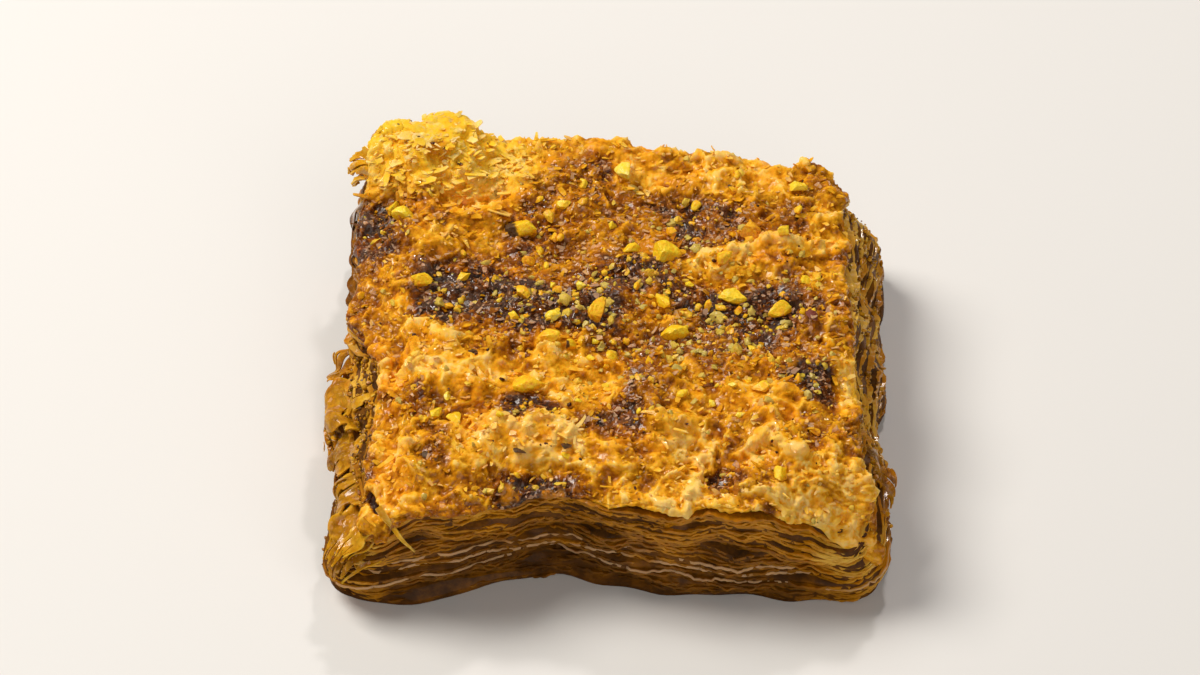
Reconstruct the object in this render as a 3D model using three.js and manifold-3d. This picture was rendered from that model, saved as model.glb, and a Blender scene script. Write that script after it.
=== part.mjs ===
// A piece of baklava: a square-cut stack of thin pastry leaves, soaked in syrup until its sides slump,
// with a crumpled, browned top, a few torn leaves at its edges and chopped pistachios stuck to it.
// Millimetres, +Z up. The origin is the middle of the base. The front is -Y and the right is +X.
import * as THREE from 'three';
import { mergeVertices } from 'three/addons/utils/BufferGeometryUtils.js';
import Module from 'manifold-3d';

const wasm = await Module();
wasm.setup();

// ---------------------------------------------------------------- driving sizes
const TOP_WIDTH = 75; // left to right, across the top
const TOP_DEPTH = 70.5; // front to back, across the top
const TOP_HEIGHT = 21.4; // base to the middle of the top
const CORNER = 4.5; // radius of the cut corners, seen from above
const RIM = 9; // width of the border in which the sides still pull on the top
const LEAVES = 8; // bundles of pastry leaves that stand out at the sides
const LEAF_RIB = 0.75; // how far a bundle stands out of the grooves beside it
const SLUMP = { right: 2.5, left: 1.8, front: -0.6, back: 0.9 }; // how far each side spreads at its foot
const SLID = { left: 4, right: 2, foot: 3.3 }; // how far leaves slid: top edges inwards, back right foot outwards
const ARCH = { x: -10.6, half: 10.5, deep: 5 }; // where the front is drawn in, from foot to top edge
const CUT_BELOW = 1.5; // the stack is made this much deeper, then cut flat to rest on

// The grid of the stack: columns across, columns deep, and two rows to each bundle of leaves.
const GRID = { across: 35, deep: 33, high: 2 * LEAVES };

// ---------------------------------------------------------------- seeded draws and smooth fields
function draws(seed) {
  let state = seed;
  return () => {
    state = (state + 0x6d2b79f5) | 0;
    let t = Math.imul(state ^ (state >>> 15), 1 | state);
    t = (t + Math.imul(t ^ (t >>> 7), 61 | t)) ^ t;
    return ((t ^ (t >>> 14)) >>> 0) / 4294967296;
  };
}

// A smooth random field over space, of about unit height: plane waves near one wavelength, drawn from a seed.
function waves(seed, wavelength, count = 9) {
  const draw = draws(seed);
  const terms = Array.from({ length: count }, () => {
    const turn = 2 * Math.PI * draw();
    const climb = 2 * draw() - 1;
    const rate = ((2 * Math.PI) / wavelength) * (0.65 + 0.7 * draw());
    const flat = Math.sqrt(1 - climb * climb);
    return [rate * flat * Math.cos(turn), rate * flat * Math.sin(turn), rate * climb, 2 * Math.PI * draw()];
  });
  const scale = Math.sqrt(2 / count);
  return (x, y, z = 0) =>
    scale * terms.reduce((sum, [kx, ky, kz, phase]) => sum + Math.sin(kx * x + ky * y + kz * z + phase), 0);
}

const clamp = THREE.MathUtils.clamp;
// Rises from 0 to 1 between two values, or falls where the first is the larger.
const smooth = (from, to, value) => {
  const share = clamp((value - from) / (to - from), 0, 1);
  return share * share * (3 - 2 * share);
};
const bell = (distance) => Math.exp(-distance * distance);

// ---------------------------------------------------------------- the top
const folds = waves(11, 17);
const creases = waves(12, 8.5);
const wrinkles = waves(13, 5);

// Mounds and hollows: middle x and y, radii along x and y, and height.
const MOUNDS = [
  [-30, 32, 8, 7, 5.6], // the crusty clump at the back left corner, steep on its right
  [-22.5, 34, 5, 6, 4.2],
  [-36, 35, 3.5, 3.5, 1.2],
  [39, -37, 9, 7, -5.5], // the front right corner droops to the foot
  [-3, 34, 9, 5, 2.8],
  [34, 35, 7, 6, -1.2],
  [17, 31, 6, 5, 0.9],
  [-26, -6, 10, 8, 1.1],
  [-19, -26, 12, 7, 1.3],
  [4, -15, 9, 6, 0.8],
  [30, -24, 8, 7, 1.3],
  [16, -27, 4.5, 3.6, -2.2], // a hollow near the front
  [-8, -30, 6, 3.5, -1],
  [-18, 8, 11, 4.5, -1.1], // two shallow valleys, where the top is darkest
  [24, 4, 11, 5.5, -1.2],
];

// Folds of the top leaf: both ends, half the width, and height.
const FOLDS = [
  [14, 13.5, 33, 18, 1.3, 1.2],
  [-34, 14, -12, 24, 1.6, 0.9],
  [8, -20, 24, -19, 1.4, 1.2],
  [24, -19, 33, -33, 1.5, 1.1],
  [2, -33, 22, -34, 1.3, 0.8],
  [-32, -14, -10, -12, 1.5, 0.9],
  [-4, 22, 12, 27, 1.5, 0.8],
];

function foldHeight(x, y) {
  let height = 0;
  for (const [x0, y0, x1, y1, half, rise] of FOLDS) {
    const [dx, dy] = [x1 - x0, y1 - y0];
    const along = clamp(((x - x0) * dx + (y - y0) * dy) / (dx * dx + dy * dy), 0, 1);
    const away = Math.hypot(x - x0 - along * dx, y - y0 - along * dy);
    height += rise * bell(away / half);
  }
  return height;
}

// The height of the top above the base.
function topHeight(x, y) {
  let height = TOP_HEIGHT + 0.045 * y - 0.012 * x;
  for (const [mx, my, rx, ry, rise] of MOUNDS)
    height += rise * bell(Math.hypot((x - mx) / rx, (y - my) / ry));
  height += foldHeight(x, y);
  height += 0.55 * folds(x, y) + 0.5 * (0.8 - Math.abs(creases(x, y))) + 0.22 * wrinkles(x, y);
  const frontRoll = 2.2 * bell((y + TOP_DEPTH / 2) / 5) * (1 + 0.35 * smooth(0, 38, x));
  const rightRoll = 0.9 * bell((TOP_WIDTH / 2 - x) / 4);
  const leftRoll = 2 * bell((TOP_WIDTH / 2 + x) / 5) * smooth(30, 15, y);
  return height - frontRoll - rightRoll - leftRoll;
}

// ---------------------------------------------------------------- the sides
const layerWave = waves(21, 30);
const outlineWave = waves(22, 26);
const ragged = waves(23, 9);
const leafWave = Array.from({ length: LEAVES + 1 }, (_, leaf) => waves(40 + leaf, 15, 6));

// Rolled ends of leaves that stand out of a side, and hollows between them: middle x and y, height share,
// radius, share radius, and reach.
const BULGES = [
  [-38, -7, 0.42, 5, 0.22, 2.6],
  [-38, -16, 0.25, 4, 0.18, 0.8],
  [-38, 9, 0.6, 11, 0.7, -1.3],
  [38, 14, 0.45, 8, 0.4, -0.6],
  [39, -22, 0.5, 4, 0.2, 1.2],
  [38, -33, 0.3, 7, 0.4, 1.4],
  [-38, -34, 0.3, 6, 0.25, 1.8],
];

// The way out of the stack at a place on its plan, and how fully that place belongs to the border.
function outward(x, y) {
  const dx = x - clamp(x, RIM - TOP_WIDTH / 2, TOP_WIDTH / 2 - RIM);
  const dy = y - clamp(y, RIM - TOP_DEPTH / 2, TOP_DEPTH / 2 - RIM);
  const reach = Math.hypot(dx, dy);
  if (reach === 0) return [0, 0, 0];
  return [dx / reach, dy / reach, smooth(0, RIM, Math.max(Math.abs(dx), Math.abs(dy)))];
}

// How far the side stands out at a height share from 0, the foot, to 1, the top edge.
function sideReach(x, y, nx, ny, share) {
  const slump =
    nx * nx * (nx > 0 ? SLUMP.right : SLUMP.left) + ny * ny * (ny > 0 ? SLUMP.back : SLUMP.front);
  const spread = slump * (1 - Math.max(share, 0) ** 2.2) ** 0.8;
  const foot = -0.9 * (1 - smooth(0, 0.1, share));
  const leaf = clamp(Math.floor(share * LEAVES), 0, LEAVES);
  const rib = -0.5 * LEAF_RIB * Math.cos(2 * Math.PI * LEAVES * share);
  const push = 0.45 * leafWave[leaf](x, y) * (1 - share ** 6);
  let reach = spread + foot + rib + push + 0.5 * outlineWave(x, y) + 0.3 * ragged(x, y, 30 * share);
  for (const [bx, by, middle, radius, tall, out] of BULGES)
    reach += out * bell(Math.hypot((x - bx) / radius, (y - by) / radius)) * bell((share - middle) / tall);
  return reach;
}

// Pulls the corner of the square plan in to a round one.
function roundCorner(x, y) {
  const ix = clamp(x, CORNER - TOP_WIDTH / 2, TOP_WIDTH / 2 - CORNER);
  const iy = clamp(y, CORNER - TOP_DEPTH / 2, TOP_DEPTH / 2 - CORNER);
  const [dx, dy] = [x - ix, y - iy];
  const far = Math.hypot(dx, dy);
  const scale = far === 0 ? 1 : Math.max(Math.abs(dx), Math.abs(dy)) / far;
  return [ix + dx * scale, iy + dy * scale];
}

// How far leaves have slid to the right: the upper ones have drawn in at both sides and bare the ones below,
// and at the back right corner the lower ones have spread.
function slid(x, y, share) {
  const upper = smooth(0.25, 1, share);
  const drawn = (SLID.left + 1.4 * bell((y + 8) / 7)) * smooth(3, -3, y) * smooth(-36.5, -29.5, y);
  const left = drawn + 1.6 * smooth(22, 30, y);
  const right = (SLID.right + 2.4 * bell((y - 9) / 8)) * smooth(-31, -26, y);
  const foot = SLID.foot * smooth(16, 32, y) * smooth(0.95, 0.45, share);
  return smooth(-26, -37, x) * left * upper + smooth(26, 37, x) * (foot - right * upper);
}

// Where a point of the plain stack goes: x and y on the plan, share of the height.
function place(x, y, share) {
  const [px, py] = roundCorner(x, y);
  const [nx, ny, border] = outward(px, py);
  const reach = border * sideReach(px, py, nx, ny, share);
  const bow = 0.7 * layerWave(px, py) + 1.1 * bell((px + 8) / 20) * smooth(-20, -34, py);
  const lift = bow * Math.sin(Math.PI * clamp(share, 0, 1));
  const rise = (topHeight(px, py) + CUT_BELOW) * share + lift - CUT_BELOW;
  // The front is drawn in as an arch. The back runs a little askew: its right end lies nearer the front.
  const arch = ARCH.deep * bell((px - ARCH.x) / ARCH.half) * smooth(-12, -35, py);
  const askew = -0.045 * px * smooth(0, 35, py);
  return new THREE.Vector3(px + nx * reach + slid(px, py, share), py + ny * reach + arch + askew, rise);
}

function stackGeometry() {
  const box = new THREE.BoxGeometry(TOP_WIDTH, TOP_DEPTH, 1, GRID.across, GRID.deep, GRID.high);
  const position = box.attributes.position;
  for (let i = 0; i < position.count; i++) {
    const moved = place(position.getX(i), position.getY(i), position.getZ(i) + 0.5);
    position.setXYZ(i, moved.x, moved.y, moved.z);
  }
  return box;
}

// ---------------------------------------------------------------- torn leaves at the edges
// A thin wavy sheet that runs along a path: the way across it, its half widths along the path, its thickness,
// and the seed of its ripples.
function leafGeometry({ path, across, halves, thick, seed }) {
  const steps = 3 * (path.length - 1);
  const columns = 4;
  const curve = new THREE.CatmullRomCurve3(path.map((p) => new THREE.Vector3(...p)));
  const side = new THREE.Vector3(...across).normalize();
  const ripple = waves(seed, 5, 6);
  const sheet = new THREE.BoxGeometry(1, 1, 1, columns, steps, 1);
  const position = sheet.attributes.position;
  for (let i = 0; i < position.count; i++) {
    const along = position.getY(i) + 0.5;
    const middle = curve.getPoint(along);
    const facing = new THREE.Vector3().crossVectors(side, curve.getTangent(along)).normalize();
    const slot = along * (halves.length - 1);
    const low = Math.min(Math.floor(slot), halves.length - 2);
    const half = THREE.MathUtils.lerp(halves[low], halves[low + 1], slot - low);
    const spread = 2 * position.getX(i) * half;
    const lift = LEAF_RIPPLE * ripple(middle.x + spread, middle.y, middle.z) + thick * position.getZ(i);
    middle.addScaledVector(side, spread).addScaledVector(facing, lift);
    position.setXYZ(i, middle.x, middle.y, middle.z);
  }
  return sheet;
}

const LEAF_RIPPLE = 0.35;
const TORN_LEAVES = [
  // the torn leaf that hangs over the front at the left, with its two ragged tongues and a long splinter
  {
    path: [[-31, -27, 20.8], [-31.5, -32.5, 19.6], [-32, -35.8, 17.2]],
    across: [1, 0.1, 0],
    halves: [3.6, 5, 5.2],
    thick: 0.8,
    seed: 71,
  },
  {
    path: [[-35.5, -33.5, 18.2], [-36, -36.4, 16], [-36, -37.2, 13.4]],
    across: [1, 0, 0.2],
    halves: [2.2, 1.7, 0.5],
    thick: 0.8,
    seed: 72,
  },
  {
    path: [[-31.8, -34.2, 17.8], [-32.2, -36.6, 15.8], [-32.8, -37.2, 13.8]],
    across: [1, 0, 0.2],
    halves: [1.7, 1.3, 0.4],
    thick: 0.8,
    seed: 73,
  },
  {
    path: [[-31.8, -33.8, 18], [-30, -36.4, 16], [-28, -37.6, 13.2]],
    across: [1, 0.3, 0.5],
    halves: [1.1, 0.9, 0.3],
    thick: 0.7,
    seed: 74,
  },
  // loose ends at the front left corner, on the left side and at the back left corner
  {
    path: [[-34, -31, 12], [-38, -34, 10.5], [-40.8, -36.2, 8]],
    across: [1, -1, 0],
    halves: [4, 3.2, 1.2],
    thick: 0.9,
    seed: 75,
  },
  {
    path: [[-34, 2, 14.5], [-39, 1, 12], [-41.8, 0, 9]],
    across: [0, 1, 0],
    halves: [4.5, 3.5, 1],
    thick: 0.8,
    seed: 76,
  },
  {
    path: [[-33, 32, 22], [-37, 34, 21.5], [-39.4, 35.5, 18]],
    across: [-0.3, 1, 0],
    halves: [3, 2.6, 0.8],
    thick: 0.9,
    seed: 77,
  },
  // a curl low on the right side
  {
    path: [[36, -20, 14], [40, -22, 13], [42, -25.5, 8.5]],
    across: [0.3, 1, 0],
    halves: [3.5, 3, 1],
    thick: 0.8,
    seed: 78,
  },
];

// ---------------------------------------------------------------- chopped pistachios
// The largest bits: x, y and length.
const LARGE_BITS = [
  [-12.6, 18.9, 4.6], [2.7, 29.6, 3.6], [21.4, 18.2, 4], [8.7, 13.9, 4.1], [18.7, 6.5, 3.9],
  [25.7, 3.7, 3.6], [9.8, -2.1, 3.6], [8.4, 4.1, 3], [-1.2, 1.4, 3.7], [-12.5, 4.3, 2.8],
  [-27.5, 7.9, 3.3], [-21.1, 9.7, 2.4], [-30.3, 20.4, 3.5], [-32.2, 22.4, 2.5], [-11.4, -13.6, 4.3],
  [25, -29.1, 3.2], [-22.1, -18.8, 2.5], [-24.9, -18.3, 2.3], [29.1, 29, 2.8], [17.3, 12.2, 3],
  [-8.4, -4.8, 3.2], [-5.2, -5, 2.5], [31.6, 9.2, 2.5], [3.7, 14.2, 2.9], [-6.6, 22.6, 2.4],
];
const SMALL_BITS = { count: 42, shortest: 1.3, longest: 2.3, seed: 5 };
const SUNK = 0.35; // the syrup holds a bit this deep, however small it is
const PROUD = 0.13; // and its middle then stands this share of its length higher

// The small bits lie thickest right of the middle, as a pinch of nuts falls.
function smallBits() {
  const draw = draws(SMALL_BITS.seed);
  const found = [];
  while (found.length < SMALL_BITS.count) {
    const x = (draw() - 0.5) * (TOP_WIDTH - 8);
    const y = (draw() - 0.5) * (TOP_DEPTH - 8);
    const length = THREE.MathUtils.lerp(SMALL_BITS.shortest, SMALL_BITS.longest, draw() ** 2);
    const wanted = 0.12 + 0.88 * bell(Math.hypot((x - 9) / 20, (y - 1) / 20));
    const clear = [...LARGE_BITS, ...found].every(
      ([bx, by, other]) => Math.hypot(x - bx, y - by) > 0.65 * (length + other),
    );
    if (draw() < wanted && clear) found.push([x, y, length]);
  }
  return found;
}

// One chopped bit: a lump with uneven corners, longer than it is wide or thick.
function bitGeometry(x, y, length, draw) {
  const lump = new THREE.IcosahedronGeometry(0.54, 0);
  lump.deleteAttribute('normal');
  lump.deleteAttribute('uv');
  const bit = mergeVertices(lump);
  const position = bit.attributes.position;
  for (let i = 0; i < position.count; i++) {
    const uneven = 0.82 + 0.36 * draw();
    position.setXYZ(i, position.getX(i) * uneven, position.getY(i) * uneven, position.getZ(i) * uneven);
  }
  bit.scale(length, length * (0.6 + 0.25 * draw()), length * (0.5 + 0.2 * draw()));
  bit.rotateX(0.9 * (draw() - 0.5));
  bit.rotateY(0.9 * (draw() - 0.5));
  bit.rotateZ(2 * Math.PI * draw());
  const spot = place(x, y, 1);
  bit.translate(spot.x, spot.y, spot.z + PROUD * length - SUNK);
  return bit;
}

// ---------------------------------------------------------------- joining
function solid(geometry) {
  const bare = geometry.clone();
  bare.deleteAttribute('normal');
  bare.deleteAttribute('uv');
  const merged = mergeVertices(bare, 1e-4);
  return new wasm.Manifold(
    new wasm.Mesh({
      numProp: 3,
      vertProperties: new Float32Array(merged.attributes.position.array),
      triVerts: new Uint32Array(merged.index.array),
    }),
  );
}

function geometryOf(manifold) {
  const { vertProperties, triVerts } = manifold.getMesh();
  const geometry = new THREE.BufferGeometry();
  geometry.setAttribute('position', new THREE.BufferAttribute(vertProperties, 3));
  geometry.setIndex(new THREE.BufferAttribute(triVerts, 1));
  geometry.computeVertexNormals();
  return geometry;
}

const bitDraw = draws(6);
const pieces = [
  solid(stackGeometry()),
  ...TORN_LEAVES.map((leaf) => solid(leafGeometry(leaf))),
  ...[...LARGE_BITS, ...smallBits()].map(([x, y, length]) => solid(bitGeometry(x, y, length, bitDraw))),
];
const belowBase = new THREE.BoxGeometry(200, 200, 20).translate(0, 0, -10);
const joined = wasm.Manifold.union(pieces).subtract(solid(belowBase));
// The outer skin alone: small hollows shut in under a torn leaf are filled, and a loose crumb is dropped.
const [whole] = joined.decompose().sort((a, b) => b.volume() - a.volume());

const pastry = new THREE.MeshStandardMaterial({ color: 0xc98a2b, roughness: 0.35, metalness: 0 });
const baklava = new THREE.Mesh(geometryOf(whole), pastry);
baklava.name = 'baklava';

const group = new THREE.Group();
group.add(baklava);

export default group;
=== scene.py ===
# %% [markdown]
# # A piece of baklava
# The real piece is a stack of paper-thin pastry leaves, baked brown, cut square and soaked in syrup. Its
# top leaf is crumpled and scorched in places, its sides show the edges of the leaves, and chopped
# pistachios stick to it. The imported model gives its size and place. This lesson builds the fine surface
# over it, one kind of thing at a time: core, leaves, crust, torn leaves, flakes, nuts and crumbs.

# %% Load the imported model
import math
import time

import bpy
import numpy as np
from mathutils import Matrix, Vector, noise


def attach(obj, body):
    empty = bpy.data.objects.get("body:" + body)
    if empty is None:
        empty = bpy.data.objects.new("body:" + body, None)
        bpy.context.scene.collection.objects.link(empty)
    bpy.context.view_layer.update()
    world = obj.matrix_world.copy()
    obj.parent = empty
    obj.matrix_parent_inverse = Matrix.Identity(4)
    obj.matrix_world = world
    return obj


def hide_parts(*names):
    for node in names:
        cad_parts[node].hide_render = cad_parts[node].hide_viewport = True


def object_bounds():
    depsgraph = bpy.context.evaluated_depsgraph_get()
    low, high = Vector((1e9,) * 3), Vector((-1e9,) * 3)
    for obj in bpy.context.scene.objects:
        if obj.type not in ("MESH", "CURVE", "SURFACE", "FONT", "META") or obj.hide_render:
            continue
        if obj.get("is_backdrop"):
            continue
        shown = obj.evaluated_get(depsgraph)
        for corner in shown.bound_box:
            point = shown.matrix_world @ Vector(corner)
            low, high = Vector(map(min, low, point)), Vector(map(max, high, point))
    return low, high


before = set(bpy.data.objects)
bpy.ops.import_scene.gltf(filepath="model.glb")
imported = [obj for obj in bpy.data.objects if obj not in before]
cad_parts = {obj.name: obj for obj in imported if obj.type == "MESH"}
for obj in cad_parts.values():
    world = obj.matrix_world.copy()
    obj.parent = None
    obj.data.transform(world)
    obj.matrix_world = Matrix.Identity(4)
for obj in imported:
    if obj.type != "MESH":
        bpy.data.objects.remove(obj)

STARTED = time.perf_counter()
MM = 0.001
BODY = "root"
CAD_BOX = [list(corner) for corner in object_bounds()]
print("solid reaches, mm:", [[round(value / MM, 1) for value in corner] for corner in CAD_BOX])

# %% [markdown]
# ## The form that everything follows
# All the pieces lie on one form, so it is written once, as a function: it takes a place on the flat plan
# and a share of the height, and says where that point of the soaked, slumped stack is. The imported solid
# was shaped by the same sizes, seeds and formulas, which is why the pieces made here fit it without any
# fitting. Lengths here are millimetres, and turn into metres only when a mesh is written.

# %% Driving sizes
TOP_WIDTH = 75
TOP_DEPTH = 70.5
TOP_HEIGHT = 21.4
CORNER = 4.5  # the radius of the corners of the plan
RIM = 9  # how wide the border is in which the sides begin to reach out
BUNDLES = 8
BUNDLE_RIB = 0.75
SLUMP = {"right": 2.5, "left": 1.8, "front": -0.6, "back": 0.9}  # how far each foot has spread
ARCH = {"x": -10.6, "half": 10.5, "deep": 5}  # the bay in the front side
CUT_BELOW = 1.5  # how far the form goes on below the table
SLID = {"left": 4, "right": 2, "foot": 3.3}  # how far the leaves slid at each end


# %% Seeded draws and smooth fields
def draws(seed):
    """Numbers from 0 to 1, always the same ones for a seed."""
    state = seed

    def draw():
        nonlocal state
        state = (state + 0x6D2B79F5) & 0xFFFFFFFF
        t = ((state ^ (state >> 15)) * (1 | state)) & 0xFFFFFFFF
        t = ((t + (t ^ (t >> 7)) * (61 | t)) & 0xFFFFFFFF) ^ t
        return (t ^ (t >> 14)) / 4294967296

    return draw


def waves(seed, wavelength, count=9):
    """A smooth random field over space, of about unit height: plane waves near one wavelength."""
    draw = draws(seed)
    terms = []
    for _ in range(count):
        turn = 2 * math.pi * draw()
        climb = 2 * draw() - 1
        rate = 2 * math.pi / wavelength * (0.65 + 0.7 * draw())
        flat = math.sqrt(1 - climb * climb)
        phase = 2 * math.pi * draw()
        terms.append((rate * flat * math.cos(turn), rate * flat * math.sin(turn), rate * climb, phase))
    scale = math.sqrt(2 / count)

    def field(x, y, z=0):
        return scale * sum(np.sin(kx * x + ky * y + kz * z + phase) for kx, ky, kz, phase in terms)

    return field


def smooth(start, end, value):
    """Rises from 0 to 1 between two values, or falls where the first is the larger."""
    share = np.clip((value - start) / (end - start), 0, 1)
    return share * share * (3 - 2 * share)


def bell(distance):
    """1 at no distance, about a third at 1, and nearly 0 from 2 on."""
    return np.exp(-distance * distance)


def mound(x, y, middle_x, middle_y, half_x, half_y=None):
    """A soft oval mound: 1 in its middle, falling to 0 around it. It is round where one radius is given."""
    return bell(np.hypot((x - middle_x) / half_x, (y - middle_y) / (half_y or half_x)))


# %% The height of the top
FOLD_FIELD, CREASE_FIELD, WRINKLE_FIELD = waves(11, 17), waves(12, 8.5), waves(13, 5)

# Mounds and hollows: middle x and y, radii along x and y, and height.
MOUNDS = [
    (-30, 32, 8, 7, 5.6),
    (-22.5, 34, 5, 6, 4.2),
    (-36, 35, 3.5, 3.5, 1.2),
    (39, -37, 9, 7, -5.5),
    (-3, 34, 9, 5, 2.8),
    (34, 35, 7, 6, -1.2),
    (17, 31, 6, 5, 0.9),
    (-26, -6, 10, 8, 1.1),
    (-19, -26, 12, 7, 1.3),
    (4, -15, 9, 6, 0.8),
    (30, -24, 8, 7, 1.3),
    (16, -27, 4.5, 3.6, -2.2),
    (-8, -30, 6, 3.5, -1),
    (-18, 8, 11, 4.5, -1.1),
    (24, 4, 11, 5.5, -1.2),
]
# Folds of the top leaf: both ends, half the width, and height.
FOLDS = [
    (14, 13.5, 33, 18, 1.3, 1.2),
    (-34, 14, -12, 24, 1.6, 0.9),
    (8, -20, 24, -19, 1.4, 1.2),
    (24, -19, 33, -33, 1.5, 1.1),
    (2, -33, 22, -34, 1.3, 0.8),
    (-32, -14, -10, -12, 1.5, 0.9),
    (-4, 22, 12, 27, 1.5, 0.8),
]


def from_line(x, y, x0, y0, x1, y1):
    """How far a point is from a straight line between two points."""
    dx, dy = x1 - x0, y1 - y0
    along = np.clip(((x - x0) * dx + (y - y0) * dy) / (dx * dx + dy * dy), 0, 1)
    return np.hypot(x - x0 - along * dx, y - y0 - along * dy)


def top_height(x, y):
    """The height of the top at a place: its tilt, mounds, folds, creases and rolled edges."""
    height = TOP_HEIGHT + 0.045 * y - 0.012 * x
    for mx, my, rx, ry, rise in MOUNDS:
        height = height + rise * mound(x, y, mx, my, rx, ry)
    for x0, y0, x1, y1, half, rise in FOLDS:
        height = height + rise * bell(from_line(x, y, x0, y0, x1, y1) / half)
    creased = 0.5 * (0.8 - abs(CREASE_FIELD(x, y)))
    height = height + 0.55 * FOLD_FIELD(x, y) + creased + 0.22 * WRINKLE_FIELD(x, y)
    front_roll = 2.2 * bell((y + TOP_DEPTH / 2) / 5) * (1 + 0.35 * smooth(0, 38, x))
    right_roll = 0.9 * bell((TOP_WIDTH / 2 - x) / 4)
    left_roll = 2 * bell((TOP_WIDTH / 2 + x) / 5) * smooth(30, 15, y)
    return height - front_roll - right_roll - left_roll


# %% The reach of the sides
LAYER_FIELD, OUTLINE_FIELD, RAGGED_FIELD = waves(21, 30), waves(22, 26), waves(23, 9)
BUNDLE_FIELDS = [waves(40 + bundle, 15, 6) for bundle in range(BUNDLES + 1)]

# Rolled ends and hollows of a side: middle x and y, height share, radius, share radius, and reach.
BULGES = [
    (-38, -7, 0.42, 5, 0.22, 2.6),
    (-38, -16, 0.25, 4, 0.18, 0.8),
    (-38, 9, 0.6, 11, 0.7, -1.3),
    (38, 14, 0.45, 8, 0.4, -0.6),
    (39, -22, 0.5, 4, 0.2, 1.2),
    (38, -33, 0.3, 7, 0.4, 1.4),
    (-38, -34, 0.3, 6, 0.25, 1.8),
]


# %% Outwards
def outward(x, y):
    """The way out of the stack at a place on its plan, and how fully that place belongs to the border."""
    dx = x - np.clip(x, RIM - TOP_WIDTH / 2, TOP_WIDTH / 2 - RIM)
    dy = y - np.clip(y, RIM - TOP_DEPTH / 2, TOP_DEPTH / 2 - RIM)
    reach = np.maximum(np.hypot(dx, dy), 1e-9)
    return dx / reach, dy / reach, smooth(0, RIM, np.maximum(abs(dx), abs(dy)))


def side_reach(x, y, nx, ny, share, ribs):
    """How far the side stands out at a share of the height: slump, foot, ribs of the bundles and bulges."""
    slump = nx * nx * np.where(nx > 0, SLUMP["right"], SLUMP["left"])
    slump = slump + ny * ny * np.where(ny > 0, SLUMP["back"], SLUMP["front"])
    spread = slump * (1 - np.clip(share, 0, 1) ** 2.2) ** 0.8
    foot = -0.9 * (1 - smooth(0, 0.1, share))
    rib = -0.5 * ribs * BUNDLE_RIB * np.cos(2 * math.pi * BUNDLES * share)
    bundle = np.clip(np.floor(share * BUNDLES), 0, BUNDLES)
    push = sum(np.where(bundle == n, field(x, y), 0) for n, field in enumerate(BUNDLE_FIELDS))
    reach = spread + foot + rib + 0.45 * push * (1 - share**6)
    reach = reach + 0.5 * OUTLINE_FIELD(x, y) + 0.3 * RAGGED_FIELD(x, y, 30 * share)
    for bx, by, middle, radius, tall, out in BULGES:
        reach = reach + out * mound(x, y, bx, by, radius) * bell((share - middle) / tall)
    return reach


# %% A point on the form
def round_corner(x, y):
    """Pulls the corner of the square plan in to a round one."""
    ix = np.clip(x, CORNER - TOP_WIDTH / 2, TOP_WIDTH / 2 - CORNER)
    iy = np.clip(y, CORNER - TOP_DEPTH / 2, TOP_DEPTH / 2 - CORNER)
    dx, dy = x - ix, y - iy
    scale = np.maximum(abs(dx), abs(dy)) / np.maximum(np.hypot(dx, dy), 1e-9)
    return ix + dx * scale, iy + dy * scale


def slid(x, y, share):
    """How far leaves slid to the right: the upper ones drew in at both sides, and the lower ones spread."""
    upper = smooth(0.25, 1, share)
    drawn = (SLID["left"] + 1.4 * bell((y + 8) / 7)) * smooth(3, -3, y) * smooth(-36.5, -29.5, y)
    left = drawn + 1.6 * smooth(22, 30, y)
    right = (SLID["right"] + 2.4 * bell((y - 9) / 8)) * smooth(-31, -26, y)
    foot = SLID["foot"] * smooth(16, 32, y) * smooth(0.95, 0.45, share)
    return smooth(-26, -37, x) * left * upper + smooth(26, 37, x) * (foot - right * upper)


def place(x, y, share, further=0, ribs=1):
    """Where a point of the plan goes at a share of the height, and further out by so much."""
    x, y, share = np.broadcast_arrays(np.asarray(x, float), np.asarray(y, float), np.asarray(share, float))
    px, py = round_corner(x, y)
    nx, ny, border = outward(px, py)
    reach = border * (side_reach(px, py, nx, ny, share, ribs) + further)
    bow = 0.7 * LAYER_FIELD(px, py) + 1.1 * bell((px + 8) / 20) * smooth(-20, -34, py)
    lift = bow * np.sin(math.pi * np.clip(share, 0, 1))
    rise = (top_height(px, py) + CUT_BELOW) * share + lift - CUT_BELOW
    arch = ARCH["deep"] * bell((px - ARCH["x"]) / ARCH["half"]) * smooth(-12, -35, py)
    askew = -0.045 * px * smooth(0, 35, py)
    return np.stack([px + nx * reach + slid(px, py, share), py + ny * reach + arch + askew, rise], axis=-1)


corner_points = place([-TOP_WIDTH / 2, TOP_WIDTH / 2], [-TOP_DEPTH / 2, TOP_DEPTH / 2], 1)
print("front left and back right corners of the top, mm:", corner_points.round(2).tolist())

# %% [markdown]
# ## Camera, floor and light
# The piece is seen from the front at 45 degrees, as on a table before you. The lens is long, so that the
# piece fills the picture without its sides falling away. One large light could show it, but syrup would
# look dull under it, so there are three: a key light from behind at the left, which models the crags, a
# wide soft one from the front right, which shows the colours, and a small hard one from behind, which
# makes the white glints.

# %% Camera
LOOK_AT = Vector((-1.0, 6.5, 12)) * MM
DISTANCE = 0.845
ELEVATION = math.radians(45)
LENS = 170

bpy.ops.object.select_all(action="DESELECT")
camera_data = bpy.data.cameras.new("camera")
camera = bpy.data.objects.new("camera", camera_data)
bpy.context.scene.collection.objects.link(camera)
camera_data.lens = LENS
camera_data.clip_start = 0.01
camera.location = LOOK_AT + DISTANCE * Vector((0, -math.cos(ELEVATION), math.sin(ELEVATION)))
camera.rotation_euler = (math.pi / 2 - ELEVATION, 0, 0)
bpy.context.scene.camera = camera
bpy.context.scene.view_settings.view_transform = "Standard"


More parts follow.
